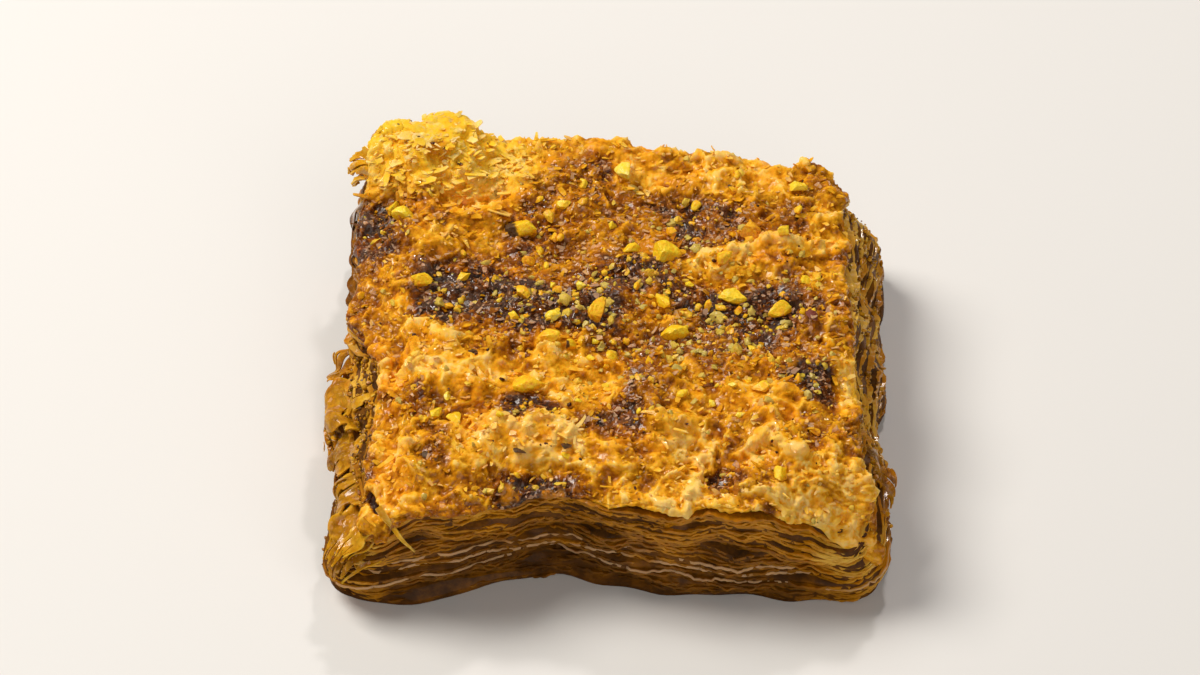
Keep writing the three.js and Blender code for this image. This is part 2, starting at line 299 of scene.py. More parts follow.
# %% Lights
def area_light(name, size, power, azimuth, elevation, distance, colour=(1, 1, 1)):
    """A square soft light that points at the piece. Azimuth 0 is in front of it, and 90 to its right."""
    data = bpy.data.lights.new(name, "AREA")
    data.size = size
    data.energy = power
    data.color = colour
    light = bpy.data.objects.new(name, data)
    bpy.context.scene.collection.objects.link(light)
    around, up = math.radians(azimuth), math.radians(elevation)
    way = Vector((math.sin(around) * math.cos(up), -math.cos(around) * math.cos(up), math.sin(up)))
    light.location = distance * way
    light.rotation_euler = (-way).to_track_quat("-Z", "Y").to_euler()
    return light


# Name, size in m, power in W, azimuth, elevation, distance in m, and colour.
LIGHTS = [
    ("key", 0.45, 9.5, -118, 52, 1.0, (1, 0.96, 0.9)),
    ("fill", 1.2, 5.6, 26, 38, 1.4, (1, 0.97, 0.93)),
    ("glint", 0.07, 1.6, 165, 48, 0.9, (1, 0.94, 0.92)),
]
for light in LIGHTS:
    area_light(*light)

world = bpy.data.worlds.new("room")
world.use_nodes = True
background = world.node_tree.nodes["Background"]
background.inputs["Color"].default_value = (0.9, 0.88, 0.85, 1)
background.inputs["Strength"].default_value = 0.12
bpy.context.scene.world = world
print(len(LIGHTS), "lights")

# %% Floor
bpy.ops.mesh.primitive_plane_add(size=8)
floor = bpy.context.object
floor.name = "floor"
floor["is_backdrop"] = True
floor_finish = bpy.data.materials.new("pale_floor")
floor_finish.use_nodes = True
floor_shader = floor_finish.node_tree.nodes["Principled BSDF"]
floor_shader.inputs["Base Color"].default_value = (0.8, 0.785, 0.76, 1)
floor_shader.inputs["Roughness"].default_value = 0.6
floor.data.materials.append(floor_finish)

# %% [markdown]
# ## Tools for the meshes
# Every piece starts as one of Blender's own primitives. These helpers add one, read and write its points
# in millimetres, apply a modifier, and hand the finished piece to the body that it rides on.


# %% Mesh helpers
def start(name, primitive, **settings):
    """Adds a primitive, such as grid or cube, and returns it as the start of a piece."""
    bpy.ops.object.select_all(action="DESELECT")
    getattr(bpy.ops.mesh, f"primitive_{primitive}_add")(**settings)
    piece = bpy.context.object
    piece.name = piece.data.name = name
    return piece


def points_of(piece):
    points = np.empty(len(piece.data.vertices) * 3)
    piece.data.vertices.foreach_get("co", points)
    return points.reshape(-1, 3) / MM


def set_points(piece, points):
    piece.data.vertices.foreach_set("co", (np.asarray(points) * MM).ravel())
    piece.data.update()


def normals_of(piece):
    normals = np.empty(len(piece.data.vertices) * 3)
    piece.data.vertex_normals.foreach_get("vector", normals)
    return normals.reshape(-1, 3)


def apply_modifier(piece, kind, **settings):
    """Adds a modifier with these settings and applies it at once."""
    bpy.ops.object.select_all(action="DESELECT")
    bpy.context.view_layer.objects.active = piece
    piece.select_set(True)
    bpy.ops.object.modifier_add(type=kind)
    modifier = piece.modifiers[-1]
    for name, value in settings.items():
        setattr(modifier, name, value)
    bpy.ops.object.modifier_apply(modifier=modifier.name)


def join(name, pieces):
    bpy.ops.object.select_all(action="DESELECT")
    for piece in pieces:
        piece.select_set(True)
    bpy.context.view_layer.objects.active = pieces[0]
    bpy.ops.object.join()
    joined = bpy.context.object
    joined.name = joined.data.name = name
    return joined


def attribute(piece, name, values):
    """Keeps one number for each point of a piece, which its finish can read."""
    layer = piece.data.attributes.get(name) or piece.data.attributes.new(name, "FLOAT", "POINT")
    layer.data.foreach_set("value", np.asarray(values, np.float32))


# %% Keep within the solid's box
KEEP_IN = 0.15  # how far inside the solid's box everything ends, in mm
SOFT = 1.2  # over how many mm a point that would pass the box is slowed down


def held(points):
    """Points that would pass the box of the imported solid, eased back into it."""
    low, high = np.array(CAD_BOX) / MM + np.array([[KEEP_IN], [-KEEP_IN]])
    low[2] = 0
    over = np.maximum(points - (high - SOFT), 0)
    points = points - over + SOFT * (1 - np.exp(-over / SOFT))
    under = np.maximum((low[:2] + SOFT) - points[:, :2], 0)
    points[:, :2] += under - SOFT * (1 - np.exp(-under / SOFT))
    return np.maximum(points, (-999, -999, 0))


# %% Hand over a finished piece
def finish_piece(piece, material, smooth_angle=None):
    """Gives the piece its finish and its body, and prints what it measures."""
    set_points(piece, held(points_of(piece)))
    piece.data.materials.clear()
    piece.data.materials.append(material)
    bpy.ops.object.select_all(action="DESELECT")
    bpy.context.view_layer.objects.active = piece
    piece.select_set(True)
    if smooth_angle is None:
        bpy.ops.object.shade_smooth()
    else:
        bpy.ops.object.shade_smooth_by_angle(angle=math.radians(smooth_angle))
    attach(piece, BODY)
    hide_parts("baklava")
    piece.data.calc_loop_triangles()
    low, high = points_of(piece).min(0).round(1), points_of(piece).max(0).round(1)
    print(f"{piece.name}: {len(piece.data.loop_triangles)} triangles, {low.tolist()} to {high.tolist()} mm")


# %% Cloudy noise on points
FADE, FINER = 0.9, 2.1  # how fast the octaves of the noise fade, and how much finer each one is


def rough(points, size, octaves=3, shift=0.0):
    """Blender's own cloudy noise at each point, from about -1 to 1, with lumps of a size in millimetres."""
    scaled = np.asarray(points) / size + shift
    return np.array([noise.fractal(Vector(point), FADE, FINER, octaves) for point in scaled])


def astray(points, far, size, octaves, shifts):
    """The x and the y of the points, moved about by noise, so that what follows them gets a ragged edge."""
    x, y = (points[:, axis] + far * rough(points, size, octaves, shifts[axis]) for axis in (0, 1))
    return x, y


def from_middle(x, y, middle_x, middle_y, long, wide, turn):
    """How far each place is from the middle of a turned ellipse, as a share of the way to its border."""
    c, s = math.cos(math.radians(turn)), math.sin(math.radians(turn))
    dx, dy = x - middle_x, y - middle_y
    return np.hypot((dx * c + dy * s) / long, (dy * c - dx * s) / wide)


# %% [markdown]
# ## Writing a finish as sums
# A finish is a tree of nodes, but it reads better as arithmetic. `Socket` wraps the output of a node and
# turns + - * / into Math nodes, so that a mask can be written as `1 - mask * 0.5`. `Finish` holds one
# material and has one method for every other kind of node.


# %% Sums of sockets
class Socket:
    """An output of a node that takes part in Python sums."""

    def __init__(self, finish, socket):
        self.finish = finish
        self.socket = socket

    def math(self, operation, *values):
        return self.finish.node("ShaderNodeMath", {"operation": operation}, dict(enumerate(values)))

    def __add__(self, other):
        return self.math("ADD", self, other)

    def __radd__(self, other):
        return self.math("ADD", other, self)

    def __sub__(self, other):
        return self.math("SUBTRACT", self, other)

    def __rsub__(self, other):
        return self.math("SUBTRACT", other, self)

    def __mul__(self, other):
        return self.math("MULTIPLY", self, other)

    def __rmul__(self, other):
        return self.math("MULTIPLY", other, self)

    def between(self, low, high):
        """0 below low, 1 above high, and a soft step between them."""
        settings = {"interpolation_type": "SMOOTHSTEP"}
        return self.finish.node("ShaderNodeMapRange", settings, {0: self, 1: low, 2: high})


# %% One finish
class Finish:
    """One material. Its constants are sockets of the shader, with _ for each space in their names."""

    def __init__(self, name, **constants):
        self.material = bpy.data.materials.new(name)
        self.material.use_nodes = True
        self.tree = self.material.node_tree
        self.shader = self.tree.nodes["Principled BSDF"]
        for socket, value in constants.items():
            self.shader.inputs[socket.replace("_", " ")].default_value = value
        self.here = self.node("ShaderNodeTexCoord", {}, {}, "Object")

    def node(self, kind, settings, sockets, output=0):
        """Adds a node of a kind, with its settings first, and then the values or links of its sockets."""
        made = self.tree.nodes.new(kind)
        for name, value in settings.items():
            if name == "stops":
                elements = made.color_ramp.elements
                while len(elements) < len(value):
                    elements.new(0.5)
                for element, (position, colour) in zip(elements, value):
                    element.position = position
                    element.color = colour
            else:
                setattr(made, name, value)
        for name, value in sockets.items():
            if isinstance(value, Socket):
                self.tree.links.new(value.socket, made.inputs[name])
            else:
                made.inputs[name].default_value = value
        return Socket(self, made.outputs[output])

    def attribute(self, name):
        """The number that a piece keeps for each of its points under this name."""
        return self.node("ShaderNodeAttribute", {"attribute_name": name}, {}, "Fac")

    def noise(self, size, detail=3, roughness=0.55):
        """Cloudy noise from 0 to 1, with lumps of a size in millimetres."""
        sockets = {"Vector": self.here, "Scale": 1 / (size * MM), "Detail": detail, "Roughness": roughness}
        return self.node("ShaderNodeTexNoise", {}, sockets)

    def cells(self, size, output="Distance"):
        """Cells of a size in millimetres: the distance to the nearest middle, or each cell's own colour."""
        sockets = {"Vector": self.here, "Scale": 1 / (size * MM)}
        return self.node("ShaderNodeTexVoronoi", {}, sockets, output)

    def layers(self, level, long, thin):
        """Noise in thin layers: long along the piece, and thin across a level in millimetres."""
        x, y = (self.node("ShaderNodeSeparateXYZ", {}, {"Vector": self.here}, axis) for axis in "XY")
        sockets = {"X": x * (1 / (long * MM)), "Y": y * (1 / (long * MM)), "Z": level * (1 / thin)}
        where = self.node("ShaderNodeCombineXYZ", {}, sockets)
        sockets = {"Vector": where, "Scale": 1.0, "Detail": 3, "Roughness": 0.6}
        return self.node("ShaderNodeTexNoise", {}, sockets)

    def ramp(self, value, stops):
        """A colour from a ramp, whose stops are each a position and a colour."""
        return self.node("ShaderNodeValToRGB", {"stops": stops}, {"Fac": value})

    def mix(self, share, first, second, blend="MIX"):
        """Two colours mixed by a share, which may be a number or a mask."""
        settings = {"data_type": "RGBA", "blend_type": blend, "clamp_factor": True}
        return self.node("ShaderNodeMix", settings, {0: share, 6: first, 7: second}, 2)

    def bump(self, height, distance, strength=1.0, normal=None):
        """Raises the finish by a height from 0 to 1 times a distance in millimetres."""
        sockets = {"Height": height, "Distance": distance * MM, "Strength": strength}
        if normal is not None:
            sockets["Normal"] = normal
        return self.node("ShaderNodeBump", {}, sockets, "Normal")

    def set(self, **sockets):
        """Links each value to the shader's socket of that name."""
        for name, value in sockets.items():
            self.tree.links.new(value.socket, self.shader.inputs[name.replace("_", " ")])


def colour(red, green, blue):
    """A colour as seen on a screen, 0 to 255, as the linear one that a shader takes."""
    shares = [value / 255 for value in (red, green, blue)]
    return (*[s / 12.92 if s <= 0.04045 else ((s + 0.055) / 1.055) ** 2.4 for s in shares], 1)


# %% [markdown]
# ## Where the top is dark and where it is golden
# An oven browns a crumpled leaf unevenly: the hollows, where butter and syrup gather, scorch dark, and the
# raised, dry folds stay golden or pale. Rather than paint this by hand, each patch is an ellipse with a
# soft, ragged edge, and their sum is one number for each point, from 0 for pale to 1 for scorched.

# %% Baked patches
# Middle x and y, half length, half width, turn in degrees, and how much darker (or paler, if negative).
PATCHES = [
    (-17, 6, 12.5, 5, -17, 0.58),  # the scorched valley left of the middle
    (-24.5, 3, 4.4, 3, 0, 0.8),
    (-31.5, 3, 2.6, 2.4, 0, -0.24),
    (-31, -4, 3, 2.4, 0, 0.1),
    (-36.5, 3, 2, 4, 0, 0.14),
    (-11.5, 3, 5, 3.5, 0, 0.58),
    (-3, 2.5, 6, 4, -10, 0.54),
    (21, 4.5, 11, 5.5, -8, 0.54),  # the scorched hollow at the right
    (16, 21, 6, 4, 10, 0.24),
    (5, 23, 4, 3, 0, 0.1),
    (28.5, 23, 3.5, 2.5, 0, 0.18),
    (28.5, 16.5, 3, 3, 0, -0.1),
    (-12.5, 19, 4, 6, 0, 0.12),
    (11, 23, 5, 3, 0, 0.06),
    (-9, 15.5, 6, 3, 0, 0.1),
    (3, 9.5, 8, 4, 0, 0.26),
    (-17, 10, 6, 3, 0, 0.08),
    (12, 16.5, 5, 2.5, 0, 0.16),
    (-31, 16, 3, 3, 0, 0.1),
    (10.5, 2.5, 3, 3, 0, -0.12),
    (12, -4, 14, 3, 0, 0.18),
    (22, -4, 4, 2.5, 0, 0.08),
    (-13, -4, 4, 3, 0, 0.12),
    (-6.5, -5, 3.5, 3, 0, -0.14),
    (4, -17, 7, 3.6, 40, 0.27),
    (5, -11, 4, 3, 0, 0.3),
    (16.5, -11, 3, 3, 0, 0.08),
    (29, -11, 4.6, 3.2, -20, 0.72),
    (28.5, -22.5, 3, 2.5, 0, 0.22),
    (28.5, -17, 3, 2.4, 0, -0.1),
    (-30.7, -17.4, 3, 2.6, 0, -0.2),
    (28.7, 2.5, 2.6, 2.6, 0, -0.1),
    (35, -35.5, 6, 3.4, -20, -0.3),
    (-35, 19.5, 4, 7, 0, 0.38),
    (-36, -25, 2.6, 6, 0, 0.3),
    (-26, -16, 5, 2.6, 0, 0.16),
    (-25, -24, 4, 3, 0, 0.14),
    (-30, -23.5, 4, 3, 0, -0.2),
    (-19, -30, 4, 3, 0, -0.14),
    (-36, -34, 4, 4, 0, -0.06),
    (-31, 9.5, 3.5, 3, 0, -0.15),
    (-11.5, -16.5, 5, 2.8, 0, 0.58),
    (-9.5, -31, 8, 3, 0, 0.5),
    (-9, -35.2, 8, 1.6, 0, -0.24),
    (39.5, -36, 3, 3, 0, 0.06),
    (17.5, -28.5, 3.4, 3, 0, 0.3),
    (22.5, -30, 3, 2, 0, 0.02),
    (-6, 26, 8, 5, 10, 0.08),  # brown lumps along the back
    (-28, 33, 11, 6, 0, -0.45),  # the bright crusty clump
    (-17, 32, 7, 5, -20, -0.35),
    (0, 36, 11, 2.6, 0, -0.28),
    (5, 30.5, 3.5, 3.5, 0, -0.5),
    (-1, 30, 2.6, 3, 0, 0.12),
    (11, 23, 4, 3, 0, 0.12),
    (5, 9, 4, 3, 0, 0.1),
    (20, 30.5, 9, 4.4, 0, -0.36),
    (-19, 26, 6, 5, 0, -0.34),
    (34, 22, 4, 4, 0, -0.22),
    (33, 12, 4, 6, 0, -0.14),
    (35.5, 16, 3, 3, 0, 0.24),
    (17.5, 9.7, 7, 2.6, 0, -0.5),
    (25, 16, 11, 1.8, 13, -0.5),  # the pale fold
    (-24, 16.5, 8, 2.6, 15, -0.18),
    (-27, -3.5, 8, 3, 0, -0.18),
    (-24, -10.5, 9, 3.6, 0, -0.58),
    (-21, -17.5, 5, 3, 0, -0.16),
    (-5, -12, 8, 5, 0, -0.34),
    (35, -10.5, 3, 4.5, 0, -0.56),
    (10, -17, 5, 9, 0, -0.2),
    (22, -15, 5, 4, 0, -0.26),
    (-13, -23.5, 9, 3.8, 0, -0.6),
    (-4, -24.5, 5, 3, 0, -0.2),
    (0, -30, 4, 4, 0, -0.26),
    (11, -26, 3.5, 6, 0, -0.42),
    (24, -24, 5, 4, 30, -0.5),
    (32, -29, 6, 5, 0, -0.46),
    (33, -30.6, 2.4, 1.6, 0, 0.26),
    (22.8, -35.3, 1.2, 0.9, 0, 0.5),
    # painted shadow: a dark streak between two folds
    (20.5, -33, 2.6, 0.9, -40, 0.36),
    (20, -34.5, 17, 3.4, -3, -0.5),
    (-30.5, -30.5, 6, 5, 0, -0.26),
]
PALEST = 0.28  # below this the patches even out, so that no place is plain cream


# %% How brown a place is
def patches(points):
    """How brown the top is at each point, from 0 for pale to 1 for scorched."""
    x, y = astray(points, 1.6, 6, 3, (3.1, 8.7))
    brown = np.full(len(points), 0.5)
    for *ellipse, darker in PATCHES:
        brown += darker * smooth(1.45, 0.55, from_middle(x, y, *ellipse))
    return np.clip(np.maximum(brown, PALEST + 0.5 * (brown - PALEST)), 0, 1)


# %% [markdown]
# ## The core
# The middle of the stack shows only as darkness between the leaves, and as the flat base. Whole leaves
# could fill it, but nobody would see them, so it is a cube, cut into small faces in edit mode and then set
# on the form, a little inside the leaves. It has to be there: without it, light would fall through the
# gaps.

# %% Core
CORE = {"cuts": 64, "inset": 0.12, "inset_at_foot": -0.3, "top": 0.93}
RIBS = {"at_back": 0.6, "less_at_front": 0.4}  # how much of the bundles' ribs the core and the leaves keep

core = start("core", "cube", size=1)
bpy.ops.object.mode_set(mode="EDIT")
bpy.ops.mesh.subdivide(number_cuts=CORE["cuts"])
bpy.ops.object.mode_set(mode="OBJECT")
flat = points_of(core) * MM
core_share = (flat[:, 2] + 0.5) * CORE["top"]
core_inset = CORE["inset"] + (CORE["inset_at_foot"] - CORE["inset"]) * smooth(0.16, 0.04, core_share)
core_ribs = RIBS["at_back"] - RIBS["less_at_front"] * smooth(-0.28, -0.46, flat[:, 1])
set_core = place(flat[:, 0] * TOP_WIDTH, flat[:, 1] * TOP_DEPTH, core_share, -core_inset, core_ribs)
set_core[:, 2] = np.maximum(set_core[:, 2], 0)
set_points(core, set_core)
attribute(core, "level", core_share * TOP_HEIGHT)

# %% [markdown]
# ## The leaves at the sides
# Each leaf is a thin sheet, but only its border shows, so only the border is made: a ring, extruded
# inwards from a circle in edit mode, laid along the outline at its own height and given a thickness. Lines
# in the finish of one solid block would be less work, but they would catch no light at their edges. Every
# leaf gets its own waves, notches and droop. Five leaves lie close together in each bundle, as they were
# brushed with butter and laid, and a darker gap parts it from the next.

# %% One flat ring
RING = {"points": 620, "loops": (0, 0.35, 1.2, 3.2)}  # loops: how far in from the edge each one lies, in mm
INWARD = 0.97

ring = start("leaf", "circle", vertices=RING["points"], radius=1)
bpy.ops.object.mode_set(mode="EDIT")
for _ in RING["loops"][1:]:
    bpy.ops.mesh.extrude_region_move()
    bpy.ops.transform.resize(value=(INWARD, INWARD, 1))
bpy.ops.object.mode_set(mode="OBJECT")
flat_ring = points_of(ring) * MM
ring_loop = np.rint(np.log(np.hypot(flat_ring[:, 0], flat_ring[:, 1])) / math.log(INWARD)).astype(int)
ring_turn = np.arctan2(flat_ring[:, 1], flat_ring[:, 0])
print("a flat ring has", len(flat_ring), "points in", ring_loop.max() + 1, "loops")


# %% One leaf
def on_outline(turn):
    """The point of the square plan's border that lies in a direction."""
    x, y = np.cos(turn), np.sin(turn)
    scale = 1 / np.maximum(abs(x), abs(y))
    return x * scale * TOP_WIDTH / 2, y * scale * TOP_DEPTH / 2


def leaf_points(number, share):
    """The points of one leaf's border: ragged, wavy, and drooping where it reaches furthest."""
    x, y = on_outline(ring_turn)
    inset = np.array(RING["loops"])[ring_loop]
    ragged, fine, notch = waves(100 + number, 7, 8), waves(200 + number, 2.6, 8), waves(300 + number, 11, 6)
    ripple, sway = waves(400 + number, 4, 8), waves(500 + number, 18, 6)
    crinkle = waves(600 + number, 1.3, 9)
    loose = 1 - 0.6 * smooth(-18, -32, y)
    edge = loose * (0.22 * ragged(x, y) + 0.1 * fine(x, y) - 0.7 * smooth(0.9, 1.5, notch(x, y)))
    edge = edge + 0.1 * crinkle(x, y)
    flap = 0.8 * loose * smooth(1.2, 1.9, -notch(x, y))
    near_edge = bell(inset / 1.6)
    ribs = RIBS["at_back"] - RIBS["less_at_front"] * smooth(-20, -33, y)
    points = place(x, y, share, (edge + flap) * near_edge - inset, ribs)
    droop = 0.9 * flap + 0.1
    points[:, 2] += near_edge * (0.1 * ripple(x, y) + 0.06 * crinkle(y, x) - droop)
    points[:, 2] += 0.16 * sway(x, y) * loose
    return points


# %% All the leaves
LEAF_PITCH = (0.1, 0.28, 0.46, 0.64, 0.82)  # how high the leaves of a bundle lie in it
LEAF_RISE = (0.085, 0.965)  # the lowest and the highest leaf, as shares of the height
LEAF_THICK = {"mean": 0.42, "more_or_less": 0.07}
PALE_LEAVES = (13, 16, 19)  # a few leaves whose edge is painted pale, a painted reflection of the syrup line
# Golden leaf ends: some soaked up less syrup, and the three along the right side are painted light, a glow of
# light through the syrup. Middle x and y, and radius.
GOLDEN = [(39, -35, 9), (-39, -6, 8), (-37, -36, 5), (40, -10, 9), (39, 8, 9), (37, 26, 9)]

leaves = []
for number in range(len(LEAF_PITCH) * BUNDLES):
    bundle, level = divmod(number, len(LEAF_PITCH))
    share = (bundle + LEAF_PITCH[level]) / BUNDLES
    if not LEAF_RISE[0] < share < LEAF_RISE[1]:
        continue
    leaf = ring.copy()
    leaf.data = ring.data.copy()
    bpy.context.scene.collection.objects.link(leaf)
    laid = leaf_points(number, share)
    laid[:, 2] = np.maximum(laid[:, 2], 0.6 * LEAF_THICK["mean"])
    set_points(leaf, laid)
    attribute(leaf, "level", np.full(len(laid), share * TOP_HEIGHT))
    attribute(leaf, "edge", (ring_loop == 0) * (1.0 if number in PALE_LEAVES else 0.3))
    attribute(leaf, "gold", sum(mound(laid[:, 0], laid[:, 1], *end) for end in GOLDEN))
    thick = LEAF_THICK["mean"] + LEAF_THICK["more_or_less"] * math.sin(2.4 * number)
    apply_modifier(leaf, "SOLIDIFY", thickness=thick * MM, offset=0)
    attribute(leaf, "tint", np.full(len(leaf.data.vertices), 0.5 + 0.5 * math.sin(5.1 * number)))
    leaves.append(leaf)
bpy.data.objects.remove(ring)
third = math.ceil(len(leaves) / 3)
lower_leaves = join("leaves_lower", leaves[:third])
middle_leaves = join("leaves_middle", leaves[third : 2 * third])
upper_leaves = join("leaves_upper", leaves[2 * third :])
print(len(leaves), "leaves in three pieces")

# %% [markdown]
# ## The crust
# The top leaves, baked together, are one crumpled sheet that turns down over the edges and ends in a torn
# lip. It could be sculpted by hand, but not twice alike, so it is a fine grid that is moved by sums. Its
# middle part lies on the top of the form, and its border hangs over the sides. The relief comes in layers:
# folds from the form itself, flaky terraces where a leaf has broken away from the one below, crumpled
# ridges, and a grain of crumbs.

# %% The sheet and its hanging border
CRUST = {"across": 300, "deep": 284, "on_top": 0.885}
HANG = {"front": 0.5, "right": 0.9, "left": 1.1, "back": 1.3}  # how far the sheet hangs down each side, mm
LIP = {"proud": 0.5, "turn": 0.82, "tuck": -1.8, "ribs": 0.3}
TORN_END = {"x": -33.5, "half": 5, "hang": 2}  # where the sheet hangs further down at the front left
# Strips of that torn end: x, half the width, and how much further they hang.
STRIPS = [
    (-35, 0.8, 2),
    (-36.8, 0.5, 1.2),
    (-33, 0.4, 0.9),
    (-31.5, 0.5, 1.2),
    (-29.8, 0.4, 0.7),
    (-28, 0.4, 0.5),
]
CORNER_HANG = {"half": 6, "hang": 2.6, "proud": 0.6}  # how the sheet droops at the front right corner, in mm
CORNER_LIP = {"middle": (38, -33), "radius": 5, "hang": 4.2}  # and how its lip reaches round that corner
DRAWN_IN = 1.5  # how far the sheet has shrunk back from the cut at the front right, in mm

crust = start("crust", "grid", x_subdivisions=CRUST["across"], y_subdivisions=CRUST["deep"], size=2)
flat_crust = points_of(crust) * MM
far = np.abs(flat_crust[:, :2]).max(axis=1)
onto = np.maximum(far, CRUST["on_top"])[:, None]
plan = flat_crust[:, :2] / onto * np.array([TOP_WIDTH / 2, TOP_DEPTH / 2])
over = np.clip((far - CRUST["on_top"]) / (1 - CRUST["on_top"]), 0, 1)

drawn_in = smooth(-27, -35, plan[:, 1]) * smooth(-8, 0, plan[:, 0])
plan[:, 1] += DRAWN_IN * drawn_in
way_x, way_y, _ = outward(*round_corner(plan[:, 0], plan[:, 1]))
hang = way_x**2 * np.where(way_x > 0, HANG["right"], HANG["left"])
hang = hang + way_y**2 * np.where(way_y > 0, HANG["back"], HANG["front"])
hang = hang * (1 + 0.3 * waves(61, 9)(plan[:, 0], plan[:, 1]) + 0.22 * waves(62, 3.2)(plan[:, 0], plan[:, 1]))
torn_end = bell((plan[:, 0] - TORN_END["x"]) / TORN_END["half"]) * smooth(-24, -33, plan[:, 1]) * way_y**2
strips = sum(long * bell((plan[:, 0] - at) / wide) for at, wide, long in STRIPS)
hang += torn_end * (TORN_END["hang"] + strips)
hang *= 1 + 0.3 * abs(waves(63, 1.3)(plan[:, 0], plan[:, 1]))
at_corner = bell((plan[:, 0] - TOP_WIDTH / 2) / CORNER_HANG["half"]) * smooth(-26, -34, plan[:, 1]) * way_y**2
hang += CORNER_HANG["hang"] * at_corner
hang += CORNER_LIP["hang"] * mound(plan[:, 0], plan[:, 1], *CORNER_LIP["middle"], CORNER_LIP["radius"])
drop = np.maximum(hang, 0.5) * np.minimum(over / LIP["turn"], 1)
share = 1 - drop / (top_height(plan[:, 0], plan[:, 1]) + CUT_BELOW)
tuck = smooth(LIP["turn"], 1, over)
proud = LIP["proud"] + CORNER_HANG["proud"] * at_corner
stand = proud * smooth(0, 0.45, over) * (1 - tuck) + LIP["tuck"] * tuck
sheet = place(plan[:, 0], plan[:, 1], share, stand, LIP["ribs"])
set_points(crust, sheet)
print("the sheet hangs over by up to", round(float(hang.max()), 1), "mm")


# %% Ridges and torn terraces
def ridges(points, size, shift, steep):
    """Creases of crumpled leaf between the lumps of a cloudy noise: 1 along a crease, and 0 away from it."""
    return np.maximum(1 - np.abs(rough(points, size, 2, shift)) * steep, 0)


def terraces(points, size, levels, shift):
    """Steps of a cloudy noise, from 0 to 1: flat treads with sharp, wandering edges."""
    field = levels * (rough(points, size, 4, shift) * 0.5 + 0.5)
    tread = np.floor(field)
    return (tread + smooth(0, 0.16, field - tread)) / levels


# %% Grains
def scramble(cell, seed):
    """A number from 0 to 1 for each cell of a lattice, always the same one for a seed."""
    mixed = (cell[..., 0] * 73856093) ^ (cell[..., 1] * 19349663) ^ (cell[..., 2] * 83492791) ^ (seed * 40503)
    for _ in range(2):
        mixed = (((mixed & 0xFFFFFFFF) ^ ((mixed & 0xFFFFFFFF) >> 16)) * 0x45D9F3B) & 0xFFFFFFFF
    return (mixed ^ (mixed >> 16)) / 4294967296


def grains(points, size, seed):
    """Loose grains of a size: how far each point is from its grain's middle, and the grain's own number."""
    scaled = np.asarray(points) / size
    home = np.floor(scaled).astype(np.int64)
    nearest, own = np.full(len(scaled), 9.0), np.zeros(len(scaled))
    for step in np.ndindex(3, 3, 3):
        cell = home + np.array(step) - 1
        middle = cell + np.stack([scramble(cell, seed + axis) for axis in range(3)], axis=-1)
        distance = np.linalg.norm(scaled - middle, axis=1)
        closer = distance < nearest
        nearest[closer] = distance[closer]
        own[closer] = scramble(cell, seed + 3)[closer]
    return nearest, own


# %% Pale folds
# Soft folds of wet leaf that stand up from the crust: both ends, half the width, and height.
CREASES = [
    (11.4, -34, 14.2, -25.2, 1.3, 0.9),
    (14.2, -25.2, 18.1, -20.4, 1.1, 0.8),
    (20.8, -23.2, 21.9, -27.3, 1.1, 0.9),
    (23.4, -22.6, 28.4, -26.7, 1.4, 0.8),
    (16.9, -31.3, 24.9, -31.9, 1.2, 0.9),
    (24.9, -31.9, 31, -34, 1.6, 0.8),
    (36, -26, 34.5, -31, 1, 0.6),
    (6.8, -32.1, 10.1, -35.1, 1.2, 0.6),
    (-28.1, -0.9, -22.3, -4.9, 1.5, 0.4),
    (-30.7, -8.8, -25, -10.4, 1.4, 0.45),
    (-32.8, -4.1, -32.3, -10.4, 1, 0.5),
    (-15.9, -20.6, -11.5, -21.7, 1.5, 0.8),
    (-7.6, -14.3, -4.2, -24.4, 1.1, 0.7),
    (-4.2, -24.4, -2, -29, 1, 0.6),
    (-34.7, -26.7, -32.6, -21.3, 1.2, 0.6),
    (-30.3, -24.4, -26.5, -22.1, 1.3, 0.6),
    (-21.9, -28.3, -18.6, -26.7, 1.1, 0.5),
    (-12.2, -4.1, -7.7, -5.7, 1.2, 0.4),
    (10.8, 34.6, 18, 33, 1.2, 0.6),
    (27.7, 33.8, 32.3, 32.9, 1.3, 0.7),
    (3.8, 36.5, 9.1, 35.2, 1.3, 0.6),
    (32.7, 4, 33, -4.1, 0.9, 0.4),
    (34.6, -8.8, 34.9, -16.7, 0.9, 0.4),
    (14, 13.5, 33, 18, 1, 0.4),
]


def creases(points):
    """How high the folds stand at each point, and how much each point belongs to one."""
    x, y = astray(points, 1.2, 4, 2, (21.3, 27.9))
    uneven = np.clip(0.75 + 0.7 * rough(points, 1.6, 4, 33.1), 0, 1.3)
    height, share = np.zeros(len(points)), np.zeros(len(points))
    for x0, y0, x1, y1, half, rise in CREASES:
        near = bell(from_line(x, y, x0, y0, x1, y1) / (0.8 * half)) * uneven
        height = np.maximum(height, rise * near)
        share = np.maximum(share, near)
    return height, share


# %% Amber places
# Where syrup has soaked right through the leaf: middle x and y, half length, half width, and turn.
AMBER = [
    (-8.1, 31.9, 1.8, 1.2, 20),
    (-4.9, 26.6, 1.6, 1.3, 0),
    (11.4, 28, 1.9, 1.3, -20),
    (5.9, 15.5, 1.7, 1.2, 40),
    (19.4, -9.8, 1.8, 1.3, 10),
    (26, -8.5, 1.7, 1.4, 0),
    (-14.2, -30.4, 1.6, 1.2, 30),
    (-7.4, -31.6, 1.8, 1.3, 0),
    (-25.5, 30.5, 2.2, 1.6, 0),
    (-31, 28, 1.6, 1.6, 0),
]


def soaked(points):
    """How much each point belongs to an amber place."""
    x, y = astray(points, 0.7, 2, 2, (41.3, 47.7))
    return np.max([smooth(1.3, 0.7, from_middle(x, y, *ellipse)) for ellipse in AMBER], axis=0)


# %% Relief of the crust
CRAGS = [(-28, 33, 11, 7, 1), (-17, 31, 8, 5, 0.75)]  # middle x and y, radii along x and y, and how craggy

